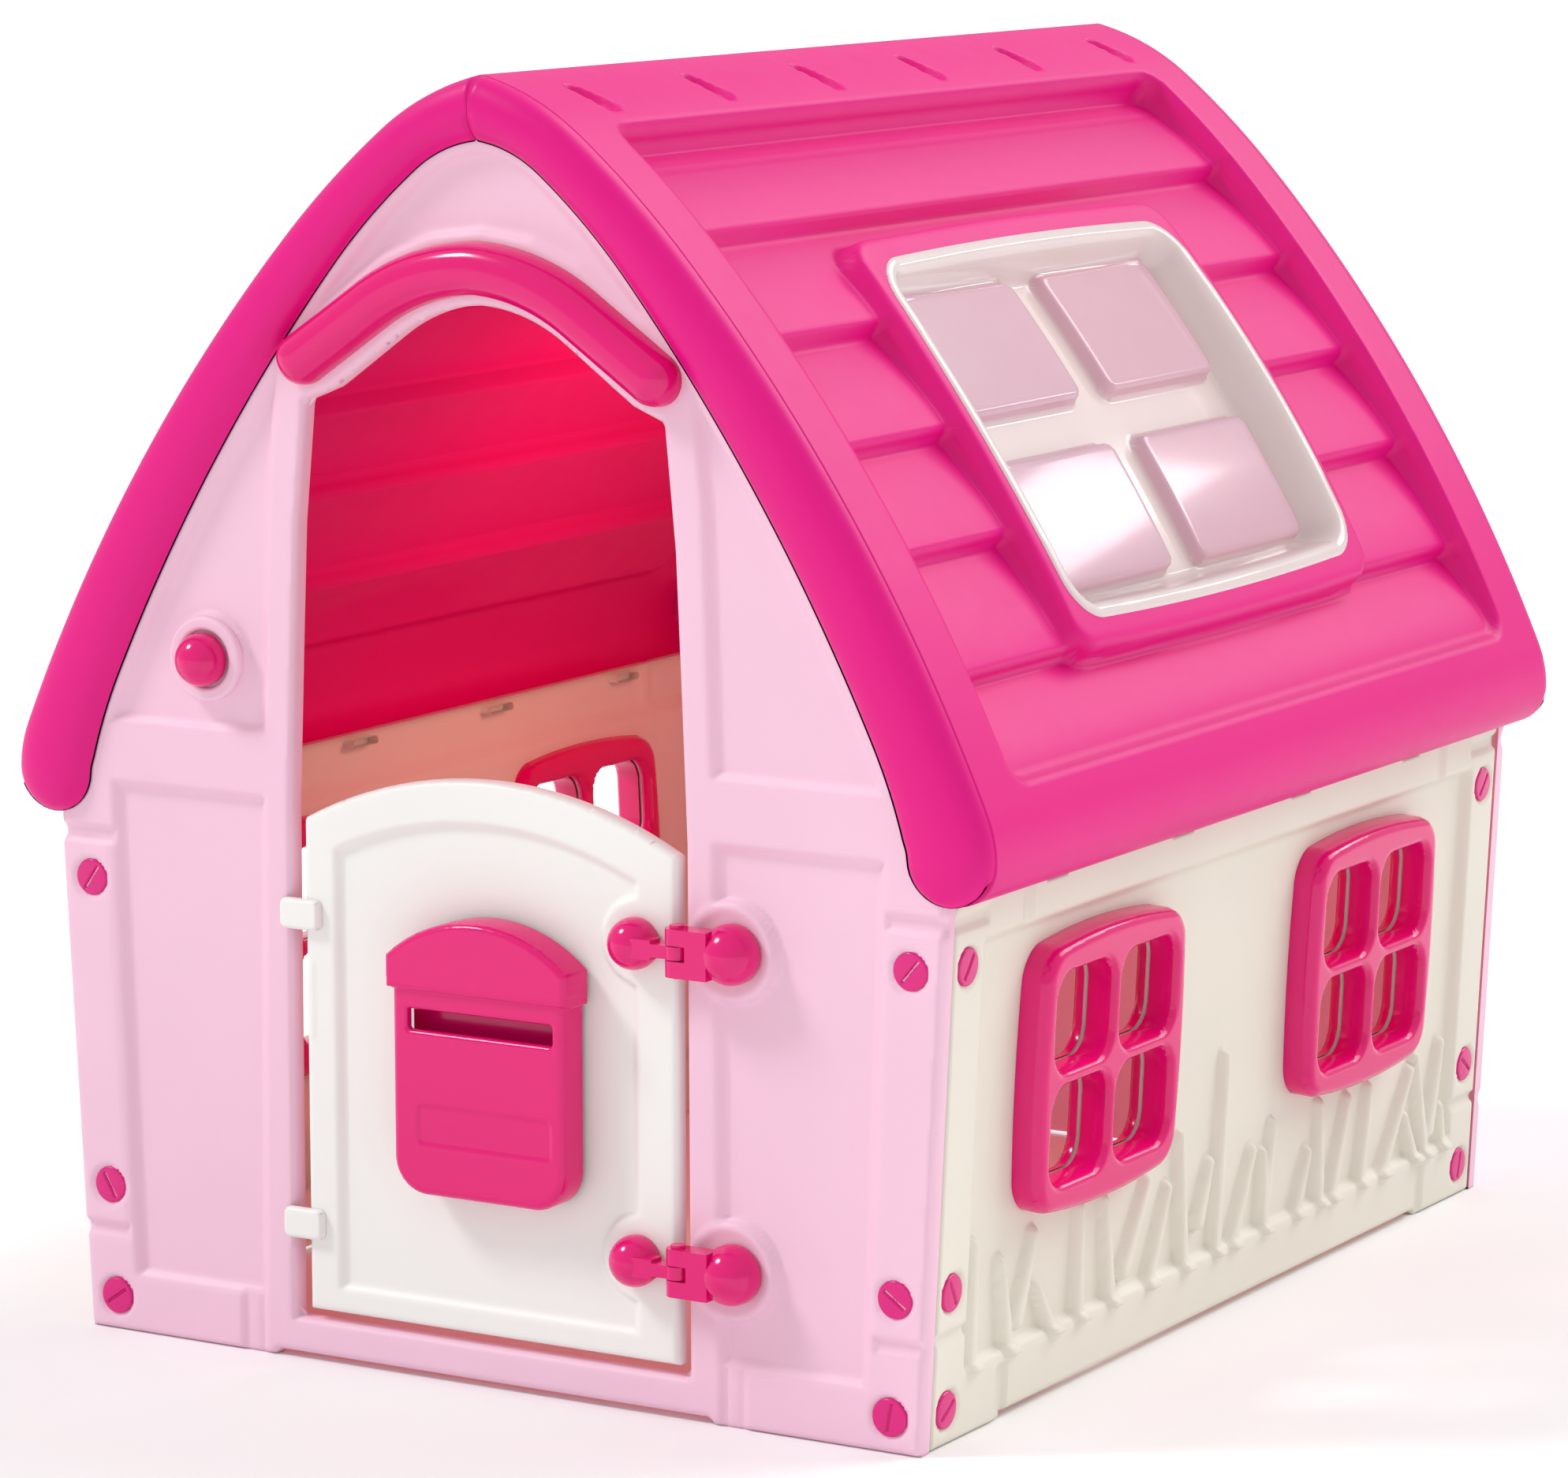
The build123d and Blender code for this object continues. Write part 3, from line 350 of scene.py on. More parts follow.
def skylight_plastic():
    """Clear moulding drawn in two tones, told apart by the pane attribute: the flats are pale cream and nearly
    opaque, a painted reflection of the white surroundings, and the raised panes are clearer, with a mauve tint for
    their frosted tops.
    """
    # The flats' pale cream colour is a painted reflection of the white surroundings; the plastic itself is clear.
    material = plastic("skylight_plastic", (0.90, 0.80, 0.78), 0.14, grain=0.02, coat=0.7, through=0.18)
    nodes, links = material.node_tree.nodes, material.node_tree.links
    shader = nodes["Principled BSDF"]
    painted_reflection_flats = shader.inputs["Base Color"].links[0].from_socket
    part = nodes.new("ShaderNodeAttribute")
    part.attribute_name = "pane"
    tint = nodes.new("ShaderNodeMix")
    tint.data_type = "RGBA"
    tint.inputs[MIX_B].default_value = (0.72, 0.50, 0.62, 1)
    links.new(part.outputs["Fac"], tint.inputs["Factor"])
    links.new(painted_reflection_flats, tint.inputs[MIX_A])
    links.new(tint.outputs[MIX_RESULT], shader.inputs["Base Color"])
    # The flats stay nearly opaque so that their painted reflection shows, and the panes let more light through.
    clear = nodes.new("ShaderNodeMapRange")
    clear.inputs["To Min"].default_value = 0.98
    clear.inputs["To Max"].default_value = 0.8
    links.new(part.outputs["Fac"], clear.inputs["Value"])
    links.new(clear.outputs["Result"], shader.inputs["Alpha"])
    return material


pale_pink = plastic("pale_pink_plastic", (0.96, 0.63, 0.785), 0.42, through=0.12)
cream = plastic("cream_plastic", (0.88, 0.845, 0.74), 0.42, through=0.12)
roof_pink = plastic("roof_pink_plastic", (0.83, 0.003, 0.25), 0.40, through=0.12)
hot_pink = plastic("hot_pink_plastic", (0.80, 0.003, 0.18), 0.17, grain=0.0, coat=0.35, through=0.06)
screw_pink = plastic("screw_pink_plastic", (0.70, 0.006, 0.20), 0.25, grain=0.03, coat=0.3)
door_white = plastic("door_white_plastic", (0.87, 0.86, 0.83), 0.36)
skylight_look = skylight_plastic()

SLOT_MATERIALS = {
    "pale_pink": pale_pink, "cream": cream, "roof_pink": roof_pink, "hot_pink": hot_pink,
    "screw_pink": screw_pink, "door_white": door_white, "bell_ring": pale_pink, "skylight": skylight_look,
}
node_slot = {part["node"]: part["material_slot"] for part in frame["record"]["subparts"]}

for node_name, node_object in frame["nodes"].items():
    node_object.data.materials.clear()
    node_object.data.materials.append(SLOT_MATERIALS[node_slot[node_name]])
    node_object.data.polygons.foreach_set("use_smooth", [True] * len(node_object.data.polygons))
    edges = node_object.modifiers.new("edges", "EDGE_SPLIT")
    edges.split_angle = math.radians(28)


# ---------------------------------------------------------------- gable walls

MIDDLE = 0.01
GABLE_GAP = 6
GABLE_LINE_TURN = 68.5
GABLE_DEPTH = 18
EAVE_Z = 515
FIELD_DEPTH = 8
POST_X = 404
POST_SLOPE = 0.04
POST_RISE = 1.5
POST_GROOVES = [(90, 105, 408), (472, 488, 418)]
POST_GROOVE_DEPTH = 5.5
FOOT_Z = 29
FOOT_GROOVES = [(253, (2.2, 26), 3, 4), (274, (2.2, 26), 3, 4), (263.5, (10, 27), 2.5, 5)]
SCREW_X = 423
SCREW_Y = 548
POCKET_RADIUS = 20
POCKET_DEPTH = 3.5
HINGE_PAD_X = 262
HINGE_PAD_RADIUS = 48
HINGE_PAD_RISE = 2.4
BELL = (-305, 658)
BELL_PAD_RADIUS = 43
BELL_PAD_RISE = 0.5


def outline_points(line, inset, last, count=60):
    """Points down a line on the right as far as last, moved inwards."""
    x, z = line.at(np.linspace(2, last, count), inset)
    return list(zip(x, z))


def mirrored(points):
    """A right half, from top to bottom, closed with its mirror image."""
    kept = [p for p in points if p[0] > 0]
    return kept + [(-x, z) for x, z in reversed(kept)]


def corner_x(z):
    """Half width of the house at the corners."""
    return BASE_X + LEAN * z


gable_line_end = float(np.interp(GABLE_LINE_TURN, np.degrees(roof_line.angle), roof_line.s))
GABLE_OUTLINE = mirrored(
    [(MIDDLE, roof_line.at(0.0, GABLE_GAP)[1])] + outline_points(roof_line, GABLE_GAP, gable_line_end)
    + [(corner_x(EAVE_Z), EAVE_Z), (corner_x(0), 0), (242, 0), (236, 6), (MIDDLE, 6)]
)
HEAD = ArcLine(1000, 2.3, [(161.8, 33.4)])
DOORWAY = mirrored(
    [(MIDDLE, 1000)] + outline_points(HEAD, 0, HEAD.length, 16)
    + [(150, 925), (160, 918), (182, 909), (192, 905), (203, 791), (208, 678), (214, 530), (216, 40), (MIDDLE, 40)]
)
UNDER_BARGE = mirrored([(MIDDLE, 1140)] + outline_points(barge_line, 7, barge_line.length, 40)
                       + [(435, 500), (MIDDLE, 500)])
LOWER_FIELD = [(250, 57), (400, 57), (418, 532), (244, 532)]
UPPER_FIELD = [(226, 990), (226, 915), (234, 834), (243, 592), (450, 592), (450, 990)]
PEAK_FIELD = [(-104, 1040), (-55, 1059), (0, 1066), (55, 1059), (104, 1040), (170, 995), (170, 1200), (-170, 1200),
              (-170, 995)]
FRONT_SCREWS = [(side * (SCREW_X + LEAN * z), z) for z in SCREW_Z for side in (1, -1)]
SIDE_SCREWS = [(side * SCREW_Y, z) for z in SCREW_Z for side in (1, -1)]


def pockets(u, v, places):
    """Depth of the round pockets that the screw heads sit in."""
    depth = np.zeros(u.shape)
    for place in places:
        depth = np.maximum(depth, POCKET_DEPTH * bank(in_circle(u, v, place, POCKET_RADIUS) - 0.5, 3))
    return depth


def gable_height(u, v, with_door):
    """Relief of a gable wall's face, 0 on its border."""
    right = np.abs(u)
    below_barge = in_polygon(u, v, UNDER_BARGE)
    fields = np.maximum(in_polygon(right, v, UPPER_FIELD), in_polygon(u, v, PEAK_FIELD))
    fields = np.maximum(np.minimum(fields, below_barge), in_polygon(right, v, LOWER_FIELD))
    h = -FIELD_DEPTH * bank(fields - 2, 12)
    for low, high, inner in POST_GROOVES:
        groove = np.minimum(right - inner, np.minimum(v - low, high - v))
        h -= POST_GROOVE_DEPTH * bank(groove - 1, 7)
    h += POST_RISE * bank(right - POST_X - POST_SLOPE * v, 6) * bank(190 - np.abs(v - 280), 10)
    for x, half, depth, edge in FOOT_GROOVES:
        h -= depth * bank(in_box(right, v, (x, FOOT_Z), half, 2), edge)
    h = h - round_edge(in_polygon(u, v, GABLE_OUTLINE), 5) - pockets(u, v, FRONT_SCREWS)
    if with_door:
        h = h - round_edge(-in_polygon(u, v, DOORWAY), 6)
        for z in HINGE_Z:
            pad = in_circle(u, v, (HINGE_PAD_X, z), HINGE_PAD_RADIUS)
            h = level(h, HINGE_PAD_RISE - 2.0 * bank(pad - 12, 10), bank(pad - 2, 6))
        h = level(h, BELL_PAD_RISE, bank(in_circle(u, v, BELL, BELL_PAD_RADIUS) - 2, 6))
    return h


def gable_inside(u, v, with_door):
    d = in_polygon(u, v, GABLE_OUTLINE)
    return np.minimum(d, -in_polygon(u, v, DOORWAY)) if with_door else d


def front_place(u, v, h):
    """Points of the door side."""
    return u, -WALL_Y - h, v


for node, with_door, step in (("front_wall", True, 3.4), ("rear_wall", False, 4.6)):
    points, faces, _ = relief((-513, 513), (0, 1203), step,
                              lambda u, v: gable_inside(u, v, with_door),
                              lambda u, v: gable_height(u, v, with_door), front_place, rim=-GABLE_DEPTH)
    if not with_door:
        points = half_turn(points)
    place_mesh(node + "_shell", points, faces, node, pale_pink)


# ----------------------------------------------------------------- side walls

SIDE_DEPTH = 17
SIDE_TILT = math.atan(LEAN)
PANEL_DEPTH = 11
CORNER_GROOVES = [((440, 485), (7.5, 27)), ((448, 28), (8.5, 24))]
CORNER_GROOVE_DEPTH = 4
SIDE_POST_Y = 514
SIDE_POST_GROOVES = [(97, 107), (473, 488)]
SIDE_POST_GROOVE_DEPTH = 4.5
# Foot and tip of each blade of grass
BLADES = [
    ((-500, 58), (-502, 175)), ((-430, 58), (-450, 148)), ((-415, 85), (-388, 162)),
    ((-345, 58), (-380, 110)), ((-295, 58), (-300, 168)), ((-230, 58), (-252, 165)),
    ((-205, 85), (-165, 165)), ((-155, 58), (-120, 148)), ((-80, 58), (-100, 195)),
    ((-52, 100), (-33, 155)), ((-13, 58), (-10, 255)), ((22, 58), (60, 148)),
    ((92, 58), (84, 140)), ((92, 90), (104, 165)), ((162, 58), (187, 120)),
    ((217, 58), (209, 165)), ((244, 58), (274, 158)), ((312, 58), (322, 160)),
    ((362, 58), (422, 158)), ((442, 58), (412, 112)), ((467, 58), (432, 170)),
    ((475, 85), (492, 175)), ((508, 58), (500, 105)),
]
BLADE_RADII = (11.5, 6.5)
BLADE_RISE = 10.5
BLADE_SLOPE = 7.5
GRASS_FOOT = 56
CLIP_SLOTS = [-390, -140, 111, 362]
CLIP_Z = 497
PANE_HALF = (55.5, 46.5)
PANE_SPACING = (62, 53)
PANE_RADIUS = 26
PANE_GAP = 2


def in_four(u, v, centre, spacing, half, radius):
    """Signed distance to four equal rounded rectangles, evenly spaced about a centre."""
    return in_box(np.abs(u - centre[0]), np.abs(v - centre[1]), spacing, half, radius)


def in_panes(u, v):
    """The holes in a side wall behind the four panes of both windows."""
    half = (PANE_HALF[0] + PANE_GAP, PANE_HALF[1] + PANE_GAP)
    near, far = [in_four(u, v, (place, WINDOW_Z), PANE_SPACING, half, PANE_RADIUS + PANE_GAP) for place in WINDOWS]
    return np.maximum(near, far)


def side_edge(u, v):
    """Distance inside a side wall's outline, whose lower edge rises between the corner feet."""
    foot = 6 * bank(444 - np.abs(u), 10)
    return np.minimum(np.minimum(SIDE_Y - np.abs(u), SIDE_TOP - v), v - foot)


def side_height(u, v):
    """Relief of a side wall's face, 0 on its border."""
    side = np.abs(u)
    h = -PANEL_DEPTH * bank(in_box(u, v, (0, 260), (518, 198), 6) - 2, 11)
    for centre, half in CORNER_GROOVES:
        h -= CORNER_GROOVE_DEPTH * bank(in_box(side, v, centre, half, 2), 6)
    for low, high in SIDE_POST_GROOVES:
        groove = np.minimum(side - SIDE_POST_Y, np.minimum(v - low, high - v))
        h -= SIDE_POST_GROOVE_DEPTH * bank(groove - 0.5, 6)
    grass = np.zeros(u.shape)
    for foot, tip in BLADES:
        t = np.clip(in_blade(u, v, foot, tip, *BLADE_RADII) / BLADE_SLOPE, 0, 1)
        grass = np.maximum(grass, BLADE_RISE * (1 - (1 - t) ** 2) ** 0.6)
    h += grass * (v > GRASS_FOOT) * bank(v - GRASS_FOOT - 2, 8)
    return h - round_edge(side_edge(u, v), 4) - pockets(u, v, SIDE_SCREWS)


def side_inside(u, v):
    edge = side_edge(u, v)
    for y in CLIP_SLOTS:
        edge = np.minimum(edge, -in_box(u, v, (y, CLIP_Z), (22, 4), 2))
    return np.minimum(edge, -in_panes(u, v))


def side_place(u, v, h):
    """Points of the right wall, which leans outwards."""
    c, s = math.cos(SIDE_TILT), math.sin(SIDE_TILT)
    return BASE_X + v * s + h * c, u, v * c - h * s


points, faces, _ = relief((-SIDE_Y, SIDE_Y), (0, SIDE_TOP), 3.3, side_inside, side_height, side_place,
                          rim=-SIDE_DEPTH)
place_mesh("right_wall_shell", points, faces, "right_wall", cream)
place_mesh("left_wall_shell", half_turn(points), faces, "left_wall", cream)


# --------------------------------------------------------------------- screws

HEAD_RADIUS = 17.6
SLOT_HALF = (13, 1.4)
SLOT_DEPTH = 2.6
SLOT_TURNS = [80, 35, -35, -60, 50, 55]


def screw_head(centre, turn, place):
    """A flat head in its pocket, with a slot turned by that many degrees."""
    c, s = math.cos(math.radians(turn)), math.sin(math.radians(turn))

    def head_inside(u, v):
        return in_circle(u, v, (0, 0), HEAD_RADIUS)

    def head_height(u, v):
        slot = in_box(u * c + v * s, v * c - u * s, (0, 0), SLOT_HALF)
        crown = 0.6 - 0.002 * (u * u + v * v)
        return crown - round_edge(head_inside(u, v), 1.5) - SLOT_DEPTH * bank(slot, 1.2)

    def head_place(u, v, h):
        return place(u + centre[0], v + centre[1], h)

    return relief((-18, 18), (-18, 18), 0.9, head_inside, head_height, head_place, rim=-4, skin=0)[:2]


for places, place, node, twin in ((FRONT_SCREWS, front_place, "front", "rear"),
                                  (SIDE_SCREWS, side_place, "right", "left")):
    points, faces = joined([screw_head(centre, turn, place) for centre, turn in zip(places, SLOT_TURNS)])
    place_mesh(f"screw_heads_{node}", points, faces, f"wall_screws_{node}", screw_pink)
    place_mesh(f"screw_heads_{twin}", half_turn(points), faces, f"wall_screws_{twin}", screw_pink)


# -------------------------------------------------------------------- windows

FRAME_HALF = (134, 121)
FRAME_BOW = (6, 10)
FRAME_RADIUS = 28


def frame_sheet(face_height, rim, flip, step):
    """Window frame about its own centre: bowed outline, four panes, round edges."""

    def panes(u, v):
        return in_four(u, v, (0, 0), PANE_SPACING, PANE_HALF, PANE_RADIUS)

    def outline(u, v):
        return in_bowed_box(u, v, (0, 0), FRAME_HALF, FRAME_BOW, FRAME_RADIUS)

    def inside(u, v):
        return np.minimum(outline(u, v), -panes(u, v))

    def height(u, v):
        return face_height - round_edge(outline(u, v), 11) - round_edge(-panes(u, v), 7) * 0.9

    def place(u, v, h):
        return u, v, h * flip

    return relief((-142, 142), (-134, 134), step, inside, height, place, rim=rim, skin=0)[:2]


# Each kind of frame with the height that it starts from on the wall
FRAMES = [("outer", frame_sheet(19, -10.8, 1, 2.4), 0), ("inner", frame_sheet(12, 0, -1, 4.0), -15)]
for window, end, twin_end in zip(WINDOWS, ("front", "rear"), ("rear", "front")):
    for kind, (local, faces), base in FRAMES:
        points = np.stack(side_place(window + local[:, 0], WINDOW_Z + local[:, 1], base + local[:, 2]), axis=1)
        right_node = f"window_frame_{kind}_right_{end}"
        left_node = f"window_frame_{kind}_left_{twin_end}"
        place_mesh(right_node + "_shell", points, faces, right_node, hot_pink)
        place_mesh(left_node + "_shell", half_turn(points), faces, left_node, hot_pink)


# ----------------------------------------------------------------------- roof

ROOF_SKIN = 4.2
SHELL_Y = 590
BOARD_ROOT = 36
BOARD_CREST = 18
BOARD_CURVE = 1.8
EAVE_DEPTH = 9
BOARD_FIELD = ((460, 0), (352, 525))
SURROUND_S = 492
SURROUND_HALF = (316, 228)
SURROUND_DEPTH = 3
SKYLIGHT_S = 491.5
WELL_HALF = (283, 186)
DENTS = [-500, -300, -100, 100, 300, 500]
DENT_S = (46, 78)
DENT_DEPTH = 12
SEAM_S = 147
SEAM_DEPTH = 0.8


def board_profile():
    """Depth of the overlapping boards against distance from the ridge, with softened risers."""
    s = np.arange(0, 1000, 1.0)
    depth = np.full(s.shape, float(BOARD_ROOT))
    for start, end in zip(BOARD_STEPS, BOARD_STEPS[1:]):
        crest = EAVE_DEPTH if end == BOARD_STEPS[-1] else BOARD_CREST
        t = np.clip((s - start) / (end - start), 0, 1)
        rise = BOARD_ROOT - (BOARD_ROOT - crest) * (1 - (1 - t) ** BOARD_CURVE)
        depth = np.where((s >= start) & (s < end), rise, depth)
    depth[s >= BOARD_STEPS[-1]] = EAVE_DEPTH
    reach, spread = 9, 2.2
    kernel = np.exp(-0.5 * (np.arange(-reach, reach + 1) / spread) ** 2)
    return s, np.convolve(np.pad(depth, reach, mode="edge"), kernel / kernel.sum(), mode="valid")


board_s, board_depth = board_profile()


def roof_height(s, y, with_skylight):
    """Relief of a roof half, 0 on its outer surface and negative inwards."""
    field = in_box(s, y, *BOARD_FIELD, 26)
    depth = np.interp(s, board_s, board_depth) * bank(field - 4, 11)
    if with_skylight:
        block = in_bowed_box(y, s, (0, SURROUND_S), SURROUND_HALF, (4, 6), 40)
        shoulder = 7 * round_edge(np.maximum(block - 7, 0), 14) / 14
        depth = level(depth, SURROUND_DEPTH + shoulder, bank(block - 5, 9))
    for place in DENTS:
        dent = in_blade(s, y, (DENT_S[0], place - 6), (DENT_S[1], place + 8), 7, 11)
        depth = depth + DENT_DEPTH * bank(dent - 1, 5) * (0.45 + 0.55 * bank(place + 4 - y, 16))
    seam = bank(in_box(s, y, (SEAM_S, 0), (1.2, 510), 1), 4) * bank(field - 12, 6)
    return -depth - SEAM_DEPTH * seam


def roof_inside(s, y, with_skylight):
    """Distance inside a roof half's skin, which ends at the skylight's opening."""
    edge = np.minimum(np.minimum(s - 0.4, roof_line.length - s), SHELL_Y - np.abs(y))
    well = in_bowed_box(y, s, (0, SKYLIGHT_S), WELL_HALF, (6, 6), 40)
    return np.minimum(edge, -well) if with_skylight else edge


def roof_place(s, y, h):
    """Points of the right half, kept off the middle of the house."""
    x, z = roof_line.at(s, -h)
    return np.maximum(x, 0.3), y, z


for node, with_skylight, step, back_step in (("roof_right", True, 4.3, 8), ("roof_left", False, 5.2, 5.2)):
    points, faces, _ = relief((0, roof_line.length), (-SHELL_Y, SHELL_Y), step,
                              lambda s, y: roof_inside(s, y, with_skylight),
                              lambda s, y: roof_height(s, y, with_skylight), roof_place, skin=ROOF_SKIN,
                              back_step=back_step)
    if not with_skylight:
        points = half_turn(points)
    place_mesh(node + "_shell", points, faces, node, roof_pink)


# --------------------------------------------------------------- bargeboards

BARGE_POWER = 0.88
BARGE_Y = 588
BARGE_BACK = 597.3
BARGE_BULGE = 24.5
BARGE_BULB = 41
BARGE_WIDTHS = (50, 85)
BARGE_TURNS = np.linspace(0, 2 * math.pi, 40, endpoint=False)
barge_edge = np.stack([barge_line.x, barge_line.z], axis=1)


def barge_section(s, squeeze=1.0, shift=0.0):
    """Section loop of the bargeboard across the roof line at s. Squeezed and shifted loops round off its end."""
    start = np.array(roof_line.at(s))
    slope = np.interp(s, roof_line.s, roof_line.angle)
    across = np.array([-math.sin(slope), -math.cos(slope)])
    along = np.array([math.cos(slope), -math.sin(slope)])
    nearest = np.argmin(np.abs((barge_edge - start) @ along))
    width = float(np.clip((barge_edge[nearest] - start) @ across, *BARGE_WIDTHS))
    t = rounded(np.cos(BARGE_TURNS), BARGE_POWER) * (width / 2 * squeeze) + width / 2
    y = -BARGE_Y - rounded(np.sin(BARGE_TURNS), BARGE_POWER) * (BARGE_BULGE * squeeze**0.6)
    y = np.where(t > 5, np.minimum(y, -BARGE_BACK), y)
    points = start + along * shift + t[:, None] * across
    return np.stack([np.maximum(points[:, 0], 0.3), y, points[:, 1]], axis=1)


stations = np.linspace(0, roof_line.upright - 4, 90)
rings = [barge_section(s) for s in stations]
for turn in np.linspace(0.12, 1.0, 10):
    angle = turn * math.pi / 2
    rings.append(barge_section(stations[-1], max(math.cos(angle), 0.02), BARGE_BULB * math.sin(angle)))
front_points, front_faces = sweep(rings)
rear_points = front_points * np.array([1, -1, 1])
points, faces = joined([(front_points, front_faces), (rear_points, [face[::-1] for face in front_faces])])
place_mesh("bargeboards_right", points, faces, "roof_right", roof_pink)
place_mesh("bargeboards_left", half_turn(points), faces, "roof_left", roof_pink)


# ------------------------------------------------------------------- skylight

SKYLIGHT_HALF = (293, 195.5)
SKYLIGHT_DEPTH = 41
SKYLIGHT_SKIN = 2.6
LIGHT_CENTRE = (0, 488)
LIGHT_SPACING = (139, 94)
LIGHT_HALF = (115, 73)
LIGHT_RISE = 14


def in_skylight(s, y):
    return in_bowed_box(y, s, (0, SKYLIGHT_S), SKYLIGHT_HALF, (7, 7), 45)


def in_lights(s, y):
    """The skylight's four raised panes."""
    return in_four(y, s, LIGHT_CENTRE, LIGHT_SPACING, LIGHT_HALF, 18)


def skylight_height(s, y):
    """Relief of the skylight: a rim that slopes into a well, and panes raised from its floor."""
    outline, lights = in_skylight(s, y), in_lights(s, y)
    depth = level(1 + round_edge(outline, 5), SKYLIGHT_DEPTH, bank(outline - 25, 26))
    shoulder = 1.5 * round_edge(np.maximum(lights - 6, 0), 4) / 4 * (lights > 3)
    return -(depth - LIGHT_RISE * bank(lights - 3, 6) + shoulder)


points, faces, places = relief((286, 697), (-302, 302), 2.9, in_skylight, skylight_height, roof_place,
                               skin=SKYLIGHT_SKIN)
piece = place_mesh("skylight_moulding", points, faces, "skylight_right", skylight_look)
layer = piece.data.attributes.new("pane", "FLOAT", "POINT")
layer.data.foreach_set("value", bank(in_lights(places[:, 0], places[:, 1]) - 1, 3).astype(np.float32))


# ------------------------------------------------------------------- the door

DOOR_Y = 597
DOOR_DEPTH = 15.5
DOOR_FIELD_DEPTH = 6
STRAP_PAD = (166, 40)
TAB_Z = (133, 427)
TAB_HALF = (22, 14.5)
TAB_RISE = 7.8


def arch_points(left, right, low, shoulder, top):
    """Outline with a circular arched top."""
    half = (right - left) / 2
    rise = top - shoulder
    radius = (half**2 + rise**2) / (2 * rise)
    limit = math.asin(half / radius)
    centre = (left + right) / 2
    turns = np.linspace(limit, -limit, 24)
    arc = [(centre + radius * math.sin(a), top - radius + radius * math.cos(a)) for a in turns]
    return [(left, low), (right, low)] + arc


DOOR_OUTLINE = arch_points(-199, 206, 50, 517, 568)
DOOR_FIELD = arch_points(-163, 163, 75, 490, 527)


def in_door(u, v):
    return in_polygon(u, v, DOOR_OUTLINE)


def door_height(u, v):
    """Relief of the door leaf: a sunk field, pads for the straps and a short rib on the free side."""
    h = -DOOR_FIELD_DEPTH * bank(in_polygon(u, v, DOOR_FIELD) - 1, 11)
    for z in HINGE_Z:
        h = level(h, 0.3, bank(in_circle(u, v, (STRAP_PAD[0], z), STRAP_PAD[1]), 6))
    rib = in_box(u, v, (-191, 346), (2.5, 36), 2)
    return h - round_edge(in_door(u, v), 6) + 1.2 * bank(rib, 4)


def door_place(u, v, h):
    return u, -DOOR_Y - h, v


def tab_sheet(z):
    """A flat tab that stands out from the door's free side."""

    def inside(u, v):
        return in_box(u, v, (-201, z), TAB_HALF, 6)

    def height(u, v):
        return TAB_RISE - round_edge(inside(u, v), 3.5)

    return relief((-225, -177), (z - 16, z + 16), 2.0, inside, height, door_place, rim=0.2, skin=0)[:2]


leaf = relief((-199, 206), (50, 570), 2.6, in_door, door_height, door_place, rim=-DOOR_DEPTH, back_step=6)
points, faces = joined([leaf[:2]] + [tab_sheet(z) for z in TAB_Z])
place_mesh("door_leaf", points, faces, "door_panel", door_white, body="door")


# -------------------------------------------------------------------- mailbox

MAILBOX_X = 13
BODY_HALF = 93
BODY_MIDDLE = 300
BODY_DEPTH = 33
CAP_HALF = 98.5
CAP_DEPTH = 38
CAP_OUTLINE = arch_points(MAILBOX_X - CAP_HALF, MAILBOX_X + CAP_HALF, 375, 406, 444)
BACK_TOP = 392
BACK_RISE = 2.0


def in_mail_body(u, v):
    low = in_box(u, v, (MAILBOX_X, BODY_MIDDLE), (BODY_HALF, 116), 35)
    return np.where(v < BODY_MIDDLE, low, BODY_HALF - np.abs(u - MAILBOX_X))


def in_slot(u, v):
    return in_box(u, v, (MAILBOX_X + 2, 348), (78.5, 10), 3)


def mailbox_inside(u, v):
    both = np.maximum(in_polygon(u, v, CAP_OUTLINE), np.minimum(in_mail_body(u, v), 380 - v))
    return np.minimum(both, -in_slot(u, v))


def mailbox_height(u, v):
    """Relief of the mailbox: a body with a sunk label field and a slot, under a raised cap."""
    label = in_box(u, v, (MAILBOX_X + 7, 251), (72, 18), 5)
    body = BODY_DEPTH - round_edge(in_mail_body(u, v), 7) * (v < 385)
    body = body - 1.6 * bank(label, 3.5) - round_edge(-in_slot(u, v), 3)
    cap = in_polygon(u, v, CAP_OUTLINE)
    return np.where(v > 373, level(body, CAP_DEPTH - round_edge(cap, 6), bank(cap - 1, 4)), body)


def mailbox_fold(u, v):
    """The slot's edge folds in a little way, the outline folds back to the door."""
    return np.where(in_slot(u, v) > -2.5, BODY_DEPTH - 8.0, 0.3)


def back_inside(u, v):
    """Outline of the plate behind the slot."""
    return np.minimum(in_mail_body(u, v), BACK_TOP - v) - 4


shell = relief((-87, 113), (183, 446), 1.7, mailbox_inside, mailbox_height, door_place, rim=mailbox_fold, skin=0)
u, v, quads, tris = sheet((-87, 113), (183, 400), 6, back_inside)
back_points = np.stack(door_place(u, v, np.full(len(u), BACK_RISE)), axis=1)
points, faces = joined([shell[:2], (back_points, quads.tolist() + tris.tolist())])
place_mesh("mailbox_shell", points, faces, "mailbox", hot_pink, body="door")


# ---------------------------------------------------------------- door visor

VISOR_LINE = ArcLine(1034, 1.9, [(209, 33.2)])
VISOR_END = np.array([189.0, 944.0])
VISOR_HALF = 24.5
VISOR_BULGE = 29.5
VISOR_BACK = 9.0
VISOR_POWER = 0.85
VISOR_TURNS = np.linspace(0, 2 * math.pi, 36, endpoint=False)


def visor_path():
    """Centre line of the visor from its left end to its right end."""
    x, z = VISOR_LINE.at(np.linspace(0, VISOR_LINE.length, 26))
    start = np.array([x[-1], z[-1]])
    straight = [tuple(start + (VISOR_END - start) * t) for t in np.linspace(0.12, 1, 9)]
    right = list(zip(x, z)) + straight
    return np.array([(-a, b) for a, b in right[:0:-1]] + right)


